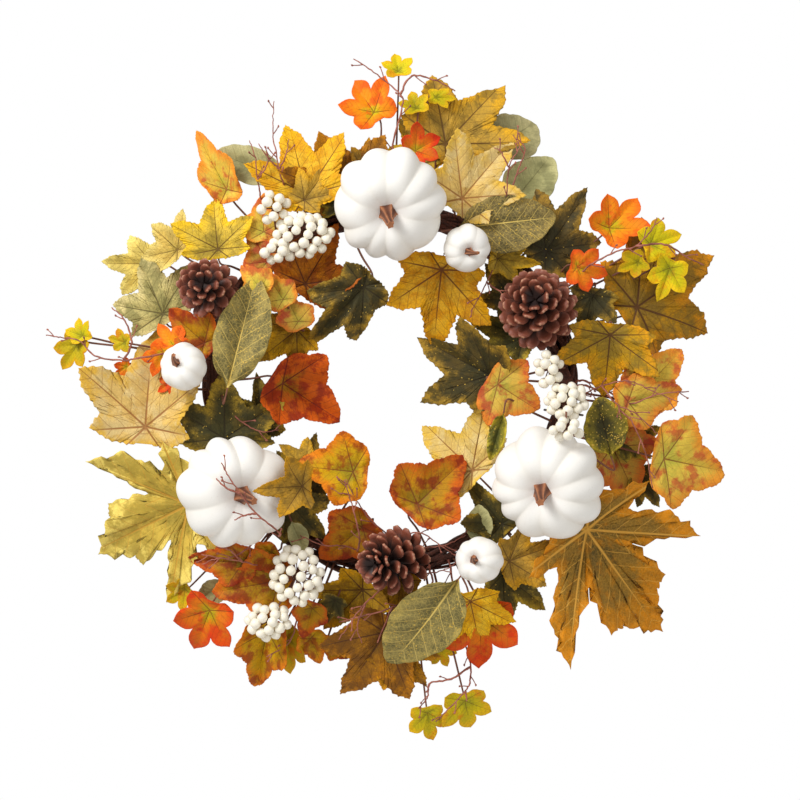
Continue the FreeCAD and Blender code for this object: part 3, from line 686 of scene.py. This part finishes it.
def vein_places(flat, kind):
    """For each point, the distance along the nearest main vein and the distance aside from it."""
    angles = np.radians([side * angle for angle in MAIN_VEINS[kind] for side in (1, -1)])
    along = flat[..., :1] * np.cos(angles) + flat[..., 1:] * np.sin(angles)
    aside = np.abs(flat[..., 1:] * np.cos(angles) - flat[..., :1] * np.sin(angles))
    aside = np.where(along > 0, aside, np.linalg.norm(flat, axis=-1, keepdims=True))
    nearest = aside.argmin(-1)[..., None]
    return np.take_along_axis(along, nearest, -1)[..., 0], np.take_along_axis(aside, nearest, -1)[..., 0]


def leaf_height(flat, edge, along, aside, kind, curl, chance):
    """The leaf's relief: it droops with the square of the distance from the stalk, cups or folds about
    the midrib, swells between the main veins, twists a little, and waves towards the rim."""
    x, side = flat[..., 0], flat[..., 1]
    limits = ((-0.02, 0.20), (-0.35, 0.30), (-0.28, 0.28), (0.06, 0.26))
    droop, cup, twist, fold = (chance.uniform(*pair) for pair in limits)
    turn = np.arctan2(side, x)
    waves = sum(chance.uniform(0.3, 1.0) * np.sin(n * turn + chance.uniform(0, 6.28)) for n in (3, 5, 8))
    swell = 0.030 * (1 - np.exp(-((aside / 0.08) ** 2)))
    ripple = 0.006 * np.sin(along * 48 - aside * 40) * np.clip(aside * 9, 0, 1)
    lift = -droop * x * np.abs(x) + cup * side ** 2 + fold * np.abs(side) + twist * x * side
    return 1.2 * curl * (lift + 0.026 * waves * edge ** 2) + swell + ripple


def leaf_surface(shape, leaf, kind, curl, chance):
    """A grid in polar form: each ring is the rim drawn in towards the heart, the place where the main
    veins meet, or the middle of an oval leaf."""
    samples = 6 if leaf.length < 0.03 else 12
    rings = np.array([0.06, 0.14, 0.24, 0.36, 0.48, 0.6, 0.72, 0.83, 0.92, 0.97, 1.0])
    rim = leaf_rim(kind, samples, chance)
    heart = np.array([0.5, 0.0]) if kind == "oval" else np.array([0.0, 0.0])
    flat = heart + rings[:, None, None] * (rim - heart)[None]
    flat = np.vstack([flat.reshape(-1, 2), heart[None]])
    edge = np.append(np.repeat(rings, len(rim)), 0.0)
    along, aside = vein_places(flat, kind)
    height = leaf_height(flat, edge, along, aside, kind, curl, chance)
    points = leaf.place(flat, height)
    points[:, 1] = -DOOR_GAP - np.log1p(np.exp((-DOOR_GAP - points[:, 1]) / 0.002)) * 0.002
    number = len(rim)
    quads = grid_faces(len(rings), number, wrap=True)
    inner = fan(np.arange(number)[::-1], len(flat) - 1)
    if kind == "oval":
        edge = edge * 0.9
    shape.add(points, quads, inner, along=along, aside=aside, edge=edge, shade=chance.uniform(0, 1))


def petiole(shape, leaf):
    """A leaf's wired stalk: a bow from the leaf's base back to the nearest canes."""
    away = math.hypot(leaf.stalk[0], leaf.stalk[2])
    reach = RING + max(-0.005, min(away - RING, 0.005))
    foot = np.array([leaf.stalk[0] * reach / away, -0.026, leaf.stalk[2] * reach / away])
    start = leaf.stalk + leaf.along * leaf.length * 0.05 - leaf.front * 0.0012
    knee = leaf.stalk - leaf.along * min(0.012, leaf.length * 0.3) - leaf.front * 0.002
    middle = (knee + foot) / 2 + (leaf.stalk - foot) * 0.08
    path = smooth_path([start, knee, middle, foot], 5)
    tube(shape, path, np.linspace(0.7, 1.1, len(path)) * MM, 6)


def leaves(wire):
    stalks = Shape()
    cloths = {finish: leaf_material(f"{finish}_cloth", **values)
              for finish, values in LEAF_FINISHES.items()}
    for number, (node, (kind, finish, curl)) in enumerate(LEAF_NODES.items()):
        chance = np.random.default_rng(LEAF_SEED + number)
        shape = Shape()
        for points, triangles in islands(node):
            leaf = Leaf(points, triangles, kind)
            leaf_surface(shape, leaf, kind, curl, chance)
            petiole(stalks, leaf)
        piece = shape.build(f"{node}_cloth", cloths[finish])
        thicken(piece, CLOTH)
        finish_piece(piece, finish, node)
    piece = stalks.build("leaf_petioles", wire)
    finish_piece(piece, "wrapped_wire", "leaf_stalks")


# Pumpkins ----------------------------------------------------

PUMPKINS = {  # node: the stem's heading seen from the front and how far it leans, in degrees
    "pumpkin_top": (-100, 24), "pumpkin_left": (-12, 20), "pumpkin_right": (-140, 22),
    "small_pumpkin_top": (-70, 20), "small_pumpkin_left": (150, 30), "small_pumpkin_bottom": (170, 25),
}
LARGE = 35 * MM  # a pumpkin wider than twice this is a large one
PUMPKIN_SEED = 7


def foam_material():
    """White painted foam: a faint warm speckle, a skin that is not quite even, and painted shade that darkens
    the grooves between the lobes and the dimples at both poles.
    """
    material, tree, shader = new_material("foam_painted", 0.5)
    tone = use_group(tree, "uneven_tone", {"Scale": 45}).outputs[0]
    colour = blend(tree, tone, srgb(252, 250, 246), srgb(240, 237, 230))
    specks = use_group(tree, "patches", {"Scale": 900, "Level": 0.66, "Softness": 0.03}).outputs[0]
    colour = blend(tree, calc(tree, "MULTIPLY", specks, 0.35), colour, srgb(214, 204, 188))
    # Painted shade: the groove value darkens the foam in the grooves and at the dimples round the stem and
    # underneath.
    groove = field(tree, "groove")
    colour = blend(tree, calc(tree, "MULTIPLY", groove, 0.35), colour, srgb(228, 220, 204))
    tree.links.new(colour, shader.inputs["Base Color"])
    skin = noise(tree, object_place(tree), 700, 4)
    bump(tree, shader, calc(tree, "ADD", skin, calc(tree, "MULTIPLY", tone, 2.0)), 0.12, 0.0006)
    return material


def stem_material():
    """Painted stem: brown, darker in the middle of each side and paler along the ribs and at the cut end,
    streaked lengthways.
    """
    material, tree, shader = new_material("stem_painted", 0.62)
    rib = field(tree, "rib")
    tone = use_group(tree, "uneven_tone", {"Scale": 160}).outputs[0]
    share = calc(tree, "ADD", calc(tree, "MULTIPLY", rib, 0.7), calc(tree, "MULTIPLY", tone, 0.5))
    colour = blend(tree, ramp(tree, share, 0.25, 0.95), srgb(86, 44, 26), srgb(176, 112, 72))
    tree.links.new(colour, shader.inputs["Base Color"])
    bump(tree, shader, tone, 0.5, 0.0008)
    return material


def pumpkin_axis(node):
    heading, lean = (math.radians(value) for value in PUMPKINS[node])
    aside = math.sin(lean)
    return np.array([math.cos(heading) * aside, -math.cos(lean), math.sin(heading) * aside])


def turned_to(axis):
    """Three directions, the last along the axis."""
    side = unit(np.cross([0.0, 0.0, 1.0], axis))
    return np.stack([side, np.cross(axis, side), axis])


def pumpkin_surface(shape, middle, axis, radius, height, lobes, cut, chance):
    """A squat body of revolution whose radius dips in a soft groove between each two round lobes; the
    crown and the underside sink in round the axis. Lobes differ a little in width and swell."""
    rows, columns = 64, 240
    rise = np.linspace(-np.pi / 2, np.pi / 2, rows)[1:-1, None]
    turn = np.linspace(0, 2 * np.pi, columns, endpoint=False)[None, :]
    phase = chance.uniform(0, 6.28, 4)
    warped = turn + 0.09 * np.sin(2 * turn + phase[0]) + 0.07 * np.sin(3 * turn + phase[1])
    groove = 1 - np.abs(np.cos(lobes * warped / 2)) ** 1.05
    swell = 1 + 0.02 * np.sin(2 * turn + phase[2]) + 0.015 * np.sin(5 * turn + phase[3])
    body = np.cos(rise) ** 0.74
    reach = body * swell * (1 - cut * groove * body ** 0.6)
    level = np.sin(rise) * (1 - 0.5 * cut * groove * body)
    level = level - np.sign(rise) * np.exp(-((body / 0.34) ** 2)) * np.where(rise > 0, 0.34, 0.22)
    local = np.stack([reach * np.cos(turn) * radius, reach * np.sin(turn) * radius,
                      level * height + 0 * turn], -1).reshape(-1, 3)
    poles = np.array([[0, 0, (-1 + 0.22) * height], [0, 0, (1 - 0.34) * height]])
    points = middle + np.vstack([local, poles]) @ turned_to(axis)
    # The groove value carried to the foam is painted shade: strongest in the grooves about the middle, full
    # at the two dimpled poles.
    shade = np.append((groove * body ** 0.5).ravel(), [1, 1])
    shape.add(points, grid_faces(rows - 2, columns, wrap=True), caps(rows - 2, columns), groove=shade)


def stem_surface(shape, foot, axis, radius, reach, sweep, chance):
    """A carved stem: five flat sides that flare at the foot, narrow fast, twist a little and bend over to
    one side, and end in a small slanting cut."""
    rows, columns = 26, 50
    share = np.linspace(0, 1, rows)[:, None]
    turn = np.linspace(0, 2 * np.pi, columns, endpoint=False)[None, :]
    twisted = (turn + 0.8 * share) % (2 * np.pi / 5) - np.pi / 5
    side_to_side = np.cos(np.pi / 5) / np.cos(twisted)
    rib = np.abs(twisted) / (np.pi / 5)
    size = 0.26 + 0.74 * np.exp(-share * 2.6) + 0.12 * np.exp(-share * 16) - 0.03
    star = size * side_to_side * (0.86 + 0.14 * rib ** 2)
    frame_of = turned_to(axis)
    side = np.cos(turn) * star * radius
    up = np.sin(turn) * star * radius
    rise = reach * share * (1 - 0.06 * np.cos(turn) * share)
    local = np.stack([side + sweep[0] * share ** 2, up + sweep[1] * share ** 2, rise + 0 * turn], -1)
    cut = local[-1].mean(0)
    points = foot + np.vstack([local.reshape(-1, 3), [[0, 0, -0.0008], cut - [0, 0, 0.0004]]]) @ frame_of
    shade = np.append(np.where(share > 0.97, 1.0, rib ** 2 * 0.8 + 0.1).ravel(), [0.2, 0.9])
    shape.add(points, grid_faces(rows, columns, wrap=True), caps(rows, columns), rib=shade)


def pumpkins():
    foam, brown = foam_material(), stem_material()
    stems = {"large_pumpkin_stems": Shape(), "small_pumpkin_stems": Shape()}
    for number, node in enumerate(PUMPKINS):
        chance = np.random.default_rng(PUMPKIN_SEED + number)
        low, high = (np.array(corner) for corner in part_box(node))
        middle, radius = (low + high) / 2, (high[0] - low[0] + high[2] - low[2]) / 4
        axis = pumpkin_axis(node)
        large = radius > LARGE
        height = radius * (0.68 if large else 0.80)
        shape = Shape()
        lobes, cut = (10, 0.100) if large else (8, 0.055)
        pumpkin_surface(shape, middle, axis, radius, height, lobes, cut, chance)
        piece = shape.build(f"{node}_foam", foam)
        finish_piece(piece, "foam_white", node)
        foot = middle + axis * height * 0.60
        kind = "large_pumpkin_stems" if large else "small_pumpkin_stems"
        size, reach = (0.0125, 0.027) if large else (0.0058, 0.017)
        bend = (0.004, -0.003) if large else (0.006, 0.003)
        stem_surface(stems[kind], foot, axis, size, reach, bend, chance)
    for kind, shape in stems.items():
        piece = shape.build(f"{kind}_painted", brown, smooth=False)
        finish_piece(piece, "stem_brown", kind)


# Pinecones ---------------------------------------------------

PINECONES = {  # node: the way the tip points, the number of scales
    "pinecone_right": ((-0.16, -1.0, 0.22), 60),
    "pinecone_left": ((-0.1, -1.0, 0.1), 42),
    "pinecone_bottom": ((-0.62, -0.78, -0.05), 54),
}
SCALE_ROWS, SCALE_COLUMNS, SCALE_THICKNESS = 9, 7, 2.0 * MM
CONE_SEED = 90


def cone_material():
    """Dry cone: dark inside, with the scales' ends paler and their lips almost tan."""
    material, tree, shader = new_material("cone_scales", 0.55)
    tip = field(tree, "tip")
    tone = use_group(tree, "uneven_tone", {"Scale": 220}).outputs[0]
    share = calc(tree, "ADD", tip, calc(tree, "MULTIPLY", calc(tree, "SUBTRACT", tone, 0.5), 0.5))
    colour = blend(tree, ramp(tree, share, 0.2, 0.95), srgb(34, 15, 10), srgb(138, 72, 50))
    colour = blend(tree, ramp(tree, share, 0.97, 1.16), colour, srgb(198, 146, 116))
    tree.links.new(colour, shader.inputs["Base Color"])
    bump(tree, shader, tone, 0.5, 0.0008)
    return material


def cone_scales(shape, middle, axis, radius, length, count, chance):
    """Scales set round a spindle by the golden angle, from the base to the tip. They stand straight out
    at the base and lean more and more towards the tip, and end on one egg-shaped envelope. Each is a
    small curved spoon: narrow at its root, widest near its end, with a thick lip turned up."""
    across, down = np.meshgrid(np.linspace(-1, 1, SCALE_COLUMNS), np.linspace(0, 1, SCALE_ROWS))
    spoon = 0.30 + 0.70 * np.sin(np.pi * np.clip(down, 0, 1) ** 1.3 * 0.62) ** 1.2
    spoon = spoon * (1 - 0.62 * np.clip((down - 0.76) / 0.24, 0, 1) ** 2)
    number = np.arange(count)
    share = (number + 0.5) / count
    turn = GOLDEN_ANGLE * number + chance.uniform(-0.07, 0.07, count)
    frame_of = turned_to(axis)
    radial = np.cos(turn)[:, None] * frame_of[0] + np.sin(turn)[:, None] * frame_of[1]
    lean = np.radians(106 - 58 * share ** 1.3)[:, None] + chance.uniform(-0.09, 0.09, (count, 1))
    out = np.sin(lean) * radial + np.cos(lean) * axis
    top = unit(np.cross(np.cross(out, axis), out))
    side = np.cross(top, out)
    envelope = radius * np.sin(np.pi * (0.34 + 0.60 * share)) ** 0.75
    size = (envelope / np.sin(lean[:, 0]) * chance.uniform(0.94, 1.02, count))[:, None, None]
    width = (radius * (0.11 + 0.085 * np.sin(np.pi * (0.28 + 0.66 * share))))[:, None, None]
    root = middle + axis * length * (share - 0.5)[:, None] * 0.80
    reach = size * down[None]
    aside = width * (spoon * across)[None]
    lift = (size * 0.10 * down[None] ** 3 - width * 0.30 * ((across * spoon) ** 2)[None]
            + width * 0.25 * np.clip(down[None] - 0.82, 0, 1) * 5)
    points = (root[:, None, None] + reach[..., None] * out[:, None, None]
              + aside[..., None] * side[:, None, None] + lift[..., None] * top[:, None, None])
    one = grid_faces(SCALE_ROWS, SCALE_COLUMNS)
    faces = (one[None] + (number * SCALE_ROWS * SCALE_COLUMNS)[:, None, None]).reshape(-1, 4)
    tip = np.clip(down ** 2.2 + 0.10 * np.abs(across) * down, 0, 1.1)
    shape.add(points.reshape(-1, 3), faces, None, tip=np.tile(tip.ravel(), count))


def pinecones():
    brown = cone_material()
    for number, (node, (axis, count)) in enumerate(PINECONES.items()):
        chance = np.random.default_rng(CONE_SEED + number)
        low, high = (np.array(corner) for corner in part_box(node))
        middle = (low + high) / 2
        axis = unit(np.array(axis))
        across = (high[0] - low[0] + high[2] - low[2]) / 4
        shape = Shape()
        cone_scales(shape, middle, axis, across, across * 1.7, count, chance)
        piece = shape.build(f"{node}_scales", brown)
        thicken(piece, SCALE_THICKNESS)
        finish_piece(piece, "cone_brown")
        core = Shape()
        spine = middle + axis * np.linspace(-0.86, 0.74, 14)[:, None] * across * 0.9
        tube(core, spine, across * 0.22 * np.sin(np.linspace(0.5, 2.9, 14)), 12, tip=0.0)
        heart = core.build(f"{node}_core", brown)
        finish_piece(heart, "cone_brown", node)


# Berries -----------------------------------------------------

BERRY_RADIUS = 4.6 * MM
BERRY_SEED = 20

def berry_material():
    """Cream lacquer over foam, with a small dark mark at the far end."""
    material, tree, shader = new_material("berry_lacquer", 0.33)
    pole = field(tree, "pole")
    tone = use_group(tree, "uneven_tone", {"Scale": 120}).outputs[0]
    colour = blend(tree, tone, srgb(254, 249, 236), srgb(242, 233, 210))
    mark = calc(tree, "MULTIPLY", ramp(tree, pole, 0.97, 1.0), 0.6)
    colour = blend(tree, mark, colour, srgb(190, 160, 120))
    tree.links.new(colour, shader.inputs["Base Color"])
    shader.inputs["Coat Weight"].default_value = 0.15
    bump(tree, shader, noise(tree, object_place(tree), 300, 3), 0.1, 0.0005)
    return material


def berries():
    """Each berry is a ball, a little longer than wide, dimpled at its outer end, where a mark shows."""
    cream = berry_material()
    rows, columns = 8, 11
    rise = np.linspace(-np.pi / 2, np.pi / 2, rows)[1:-1, None]
    turn = np.linspace(0, 2 * np.pi, columns, endpoint=False)[None, :]
    ball = np.stack([np.cos(rise) * np.cos(turn), np.cos(rise) * np.sin(turn),
                     (np.sin(rise) - 0.10 * (np.sin(rise) > 0.85)) + 0 * turn], -1).reshape(-1, 3)
    ball = np.vstack([ball, [[0, 0, -1], [0, 0, 0.84]]])
    pole = np.append(np.repeat(np.sin(rise), columns), [-1, 1])
    quads, ends = grid_faces(rows - 2, columns, wrap=True), caps(rows - 2, columns)
    for number, node in enumerate(("berries_upper_left", "berries_right", "berries_lower_left")):
        chance = np.random.default_rng(BERRY_SEED + number)
        shape = Shape()
        middles = np.array([(points.min(0) + points.max(0)) / 2 for points, _ in islands(node)])
        for middle in middles:
            out = unit(middle - middles.mean(0) + [0, -0.012, 0] + chance.uniform(-0.006, 0.006, 3))
            stretched = ball * [1, 1, 1.06] * BERRY_RADIUS * chance.uniform(0.90, 1.06)
            shape.add(middle + stretched @ turned_to(out), quads, ends, pole=pole)
        piece = shape.build(f"{node}_lacquered", cream)
        finish_piece(piece, "berry_cream", node)


# Vine ring ---------------------------------------------------

RING = 0.155
BUNDLE_DEPTH = 0.021
CANES, CANE_POINTS, CANE_SIDES = 24, 300, 7
CANE_SPREAD, CANE_RADIUS = 10.2 * MM, 1.9 * MM
VINE_SEED = 3


def bark_material():
    """Bark: dark, with pale strips that run along the cane."""
    material, tree, shader = new_material("vine_bark_strips", 0.78)
    tone = use_group(tree, "uneven_tone", {"Scale": 90}).outputs[0]
    along, round_it = field(tree, "along"), field(tree, "round")
    place = put(tree, "ShaderNodeCombineXYZ", {"X": along, "Y": round_it, "Z": 0.0}).outputs[0]
    strips = noise(tree, place, 9, 4, 0.6)
    share = calc(tree, "ADD", calc(tree, "MULTIPLY", strips, 0.7), calc(tree, "MULTIPLY", tone, 0.5))
    colour = blend(tree, ramp(tree, share, 0.45, 0.8), srgb(40, 20, 14), srgb(122, 66, 48))
    tree.links.new(colour, shader.inputs["Base Color"])
    bump(tree, shader, calc(tree, "ADD", strips, tone), 0.8, 0.0012)
    return material


def vine():
    """Canes wound together: each circles the ring while it also winds slowly about the bundle's middle,
    by a whole number of turns so that it closes, and its thickness swells at its knots."""
    shape = Shape()
    chance = np.random.default_rng(VINE_SEED)
    turn = np.linspace(0, 2 * np.pi, CANE_POINTS, endpoint=False)
    around = np.abs(np.linspace(0, 1, CANE_SIDES, endpoint=False) - 0.5) * 6
    for number in range(CANES):
        winding = int(chance.integers(2, 7)) * (1 if number % 3 else -1)
        start = chance.uniform(0, 6.28)
        spread = CANE_SPREAD * chance.uniform(0.6, 1.0)
        wobble = 1 + 0.16 * np.sin(3 * turn + start) + 0.08 * np.sin(11 * turn + 2 * start)
        angle = winding * turn + start
        out = RING + spread * wobble * np.cos(angle)
        depth = BUNDLE_DEPTH + spread * wobble * np.sin(angle)
        path = np.stack([out * np.cos(turn), -depth, out * np.sin(turn)], 1)
        knots = 0.35 * np.clip(np.sin(9 * turn + 5 * start), 0, 1) ** 8 + 0.08 * np.sin(23 * turn + start)
        thick = CANE_RADIUS * chance.uniform(0.65, 1.15) * (1 + knots)
        run = 10 * np.abs(turn - np.pi) + number
        tube(shape, path, thick, CANE_SIDES, closed=True, along=run, round=np.tile(around, CANE_POINTS))
    piece = shape.build("vine_ring_wound", bark_material())
    finish_piece(piece, "vine_bark", "vine_canes")


# Twigs -------------------------------------------------------

# Each twig's points, from its foot outwards, in millimetres: x, z and the depth in front of the door.
TWIGS = {
    "twig_pick_top": [
        [(4, 172, 38), (2, 208, 46), (10, 242, 52), (9, 256, 50), (-14, 276, 46), (-32, 288, 44)],
        [(9, 256, 50), (19, 272, 50), (40, 268, 52), (57, 259, 50)],
    ],
    "twig_pick_left": [
        [(-172, 34, 38), (-205, 28, 62), (-231, 24, 62), (-256, 28, 60), (-270, 41, 58), (-287, 44, 54),
         (-300, 46, 50)],
        [(-231, 24, 62), (-224, 40, 62), (-231, 60, 60), (-242, 70, 56)],
    ],
    "twig_pick_right": [
        [(150, 82, 36), (163, 97, 48), (176, 108, 62), (196, 118, 64), (213, 123, 64), (227, 137, 60),
         (232, 148, 58)],
        [(213, 123, 64), (238, 124, 66), (256, 114, 62), (273, 107, 56)],
        [(172, 6, 38), (192, -4, 46), (207, -14, 56), (234, -5, 68), (259, -3, 64)],
        [(172, 2, 38), (192, -8, 46), (200, -20, 66), (209, -29, 68), (221, -56, 66), (228, -87, 62)],
    ],
    "twig_pick_bottom": [
        [(53, -158, 38), (60, -205, 36), (70, -239, 34), (70, -256, 44), (66, -264, 52), (49, -282, 52),
         (40, -291, 52)],
        [(66, -264, 52), (67, -273, 52)],
        [(70, -245, 38), (53, -254, 50), (35, -257, 54), (33, -269, 52), (25, -280, 50)],
        [(-72, -154, 38), (-80, -195, 43), (-88, -222, 45), (-108, -235, 46)],
    ],
    "tendril_twigs": [
        [(-95, -126, 38), (-95, -127, 84), (-94, -122, 114), (-112, -106, 124), (-125, -89, 129),
         (-135, -74, 131), (-141, -63, 129)],
        [(-125, -89, 129), (-137, -84, 131), (-145, -76, 131)],
        [(-112, -106, 124), (-121, -107, 127), (-130, -111, 129)],
        [(-30, -146, 38), (-26, -130, 72), (-32, -103, 78), (-39, -79, 78)],
        [(96, 138, 38), (104, 165, 43), (112, 190, 43), (118, 208, 48), (111, 218, 50)],
        [(35, -160, 38), (35, -172, 62), (2, -190, 66), (-22, -197, 66), (-44, -203, 62)],
        [(2, -190, 66), (-11, -221, 62)],
        [(-118, -128, 38), (-121, -137, 68), (-140, -147, 70), (-163, -144, 68)],
    ],
}


TWIG_SEED = 60
ROOT_REACH = 36 * MM  # a run that starts nearer than this to the bundle's middle grows out of the canes
FINE_TWIGS = [  # thinner shoots among the leaves, written in the same way
    [(-88, 165, 44), (-94, 182, 60), (-98, 200, 60), (-102, 224, 56), (-101, 250, 52)],
    [(-96, 190, 60), (-106, 200, 62), (-114, 212, 60)],
    [(-96, 190, 60), (-90, 202, 62), (-88, 216, 60)],
    [(8, -146, 38), (28, -140, 52), (50, -136, 56), (66, -128, 54)],
    [(4, -158, 38), (26, -162, 54), (48, -158, 58), (60, -150, 54)],
    [(-20, -146, 38), (-38, -138, 54), (-60, -136, 60), (-78, -128, 60)],
    [(96, 118, 38), (84, 92, 60), (76, 76, 66), (70, 66, 66)],
    [(84, 92, 60), (94, 84, 72), (104, 84, 84)],
    [(168, -6, 38), (184, 2, 58), (206, 6, 66), (226, -2, 68), (250, -12, 66)],
    [(184, 2, 58), (196, -14, 66), (212, -22, 68), (232, -40, 66)],
    [(-152, -10, 38), (-128, -30, 56), (-112, -38, 58), (-96, -36, 56)],
    [(9, -137, 38), (-16, -116, 60), (-30, -95, 66), (-38, -79, 66)],
    [(-30, -95, 66), (-42, -91, 68), (-52, -96, 66)],
    [(-4, -172, 58), (-21, -186, 72), (-33, -201, 76), (-44, -217, 74)],
    [(-21, -186, 72), (-28, -205, 76), (-24, -220, 74)],
    [(-103, -158, 50), (-127, -150, 72), (-147, -147, 76), (-162, -152, 74)],
    [(-127, -150, 72), (-138, -140, 76), (-150, -137, 76)],
    [(4, -133, 38), (26, -126, 56), (44, -137, 62), (60, -147, 60)],
    [(-112, 160, 40), (-115, 180, 58), (-117, 200, 60), (-122, 215, 58)],
    [(-115, 180, 58), (-106, 196, 60), (-108, 210, 58)],
    [(96, 150, 38), (101, 168, 60), (103, 191, 66), (112, 208, 64), (107, 219, 62)],
    [(103, 191, 66), (96, 204, 68), (90, 208, 66)],
]


def spurs(shape, path, chance):
    """Short side shoots: each leaves the twig at a slant, bends towards its end, and swells to a bud."""
    places = np.arange(9, len(path) - 2, 7)
    run = unit(np.gradient(path, axis=0))
    for number, place in enumerate(places):
        sideways = unit(np.cross(run[place], [0, 1, 0])) * (1 if number % 2 else -1)
        out = unit(run[place] * 0.8 + sideways * 0.8 + [0, chance.uniform(-0.5, 0.1), 0])
        length = chance.uniform(0.005, 0.011)
        bend = path[place] + out * length * 0.55 + run[place] * 0.0008
        end = path[place] + out * length + run[place] * 0.0025
        shoot = smooth_path([path[place], bend, end], 4)
        tube(shape, shoot, np.linspace(0.55, 0.42, len(shoot)) * MM, 5)
        bud = end + run[place] * np.linspace(-0.0012, 0.0012, 5)[:, None]
        tube(shape, bud, np.array([0.35, 0.8, 0.95, 0.7, 0.2]) * MM, 5)


def rooted(points):
    """A run that starts by the ring, carried on into the canes: one more point before its first, most of
    the way from there to the bundle's middle."""
    away = math.hypot(points[0, 0], points[0, 2])
    middle = np.array([points[0, 0] * RING / away, -BUNDLE_DEPTH, points[0, 2] * RING / away])
    gap = points[0] - middle
    return np.vstack([middle + 0.3 * gap, points]) if np.linalg.norm(gap) < ROOT_REACH else points


def twig(shape, stretch, thick, thin, knots, sides, sway, chance):
    """One run of twig through its points, a little out of true, thinning from foot to end in soft knots."""
    path = smooth_path(rooted(np.array([(x, -depth, z) for x, z, depth in stretch]) * MM), 8)
    path[1:-1] += chance.uniform(-sway, sway, (len(path) - 2, 3))
    radii = np.linspace(thick, thin, len(path)) * (1 + knots * np.sin(np.arange(len(path)) * 1.7))
    tube(shape, path, radii, sides)
    spurs(shape, path, chance)


def twigs():
    brown = toned_material("twig_moulded", 0.6, 130, (104, 50, 40), (176, 104, 84), (0.5, 0.0006),
                           0.3, 0.62)
    for number, (node, stretches) in enumerate(TWIGS.items()):
        chance = np.random.default_rng(TWIG_SEED + number)
        shape = Shape()
        for stretch in stretches:
            twig(shape, stretch, 1.05 * MM, 0.5 * MM, 0.12, 7, 0.4 * MM, chance)
        if node == "tendril_twigs":
            for stretch in FINE_TWIGS:
                twig(shape, stretch, 0.8 * MM, 0.4 * MM, 0.0, 6, 0.5 * MM, chance)
        piece = shape.build(f"{node}_moulded", brown)
        finish_piece(piece, "twig_brown", node)


# Hidden hardware keeps its CAD shape -------------------------


def iron_material():
    """Dark annealed wire with a thin brown bloom."""
    material, tree, shader = new_material("iron_annealed", 0.45)
    tone = use_group(tree, "uneven_tone", {"Scale": 240}).outputs[0]
    colour = blend(tree, ramp(tree, tone, 0.35, 0.7), srgb(58, 50, 46), srgb(110, 78, 56))
    tree.links.new(colour, shader.inputs["Base Color"])
    tree.links.new(ramp(tree, tone, 0.4, 0.7, 0.8, 0.2), shader.inputs["Metallic"])
    bump(tree, shader, tone, 0.3, 0.0003)
    return material


def hardware(wire):
    iron = iron_material()
    wood = toned_material("pick_turned", 0.6, 180, (150, 116, 76), (206, 176, 128), (0.3, 0.0004))
    finishes = {"hanging_loop": iron, "binding_ties": iron, "pinecone_wires": iron, "pumpkin_picks": wood,
                "berry_stalks": wire}
    for node, material in finishes.items():
        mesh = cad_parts[node].data
        mesh.materials.clear()
        mesh.materials.append(material)


for make_group in (vein_group, weave_group, patch_group, dust_group, wear_group):
    make_group()
camera()
lights()
floor()
wrapped_wire = toned_material("wrapped_wire_paper", 0.7, 300, (86, 48, 36), (150, 94, 68), (0.4, 0.0005))
leaves(wrapped_wire)
pumpkins()
pinecones()
berries()
vine()
twigs()
hardware(wrapped_wire)
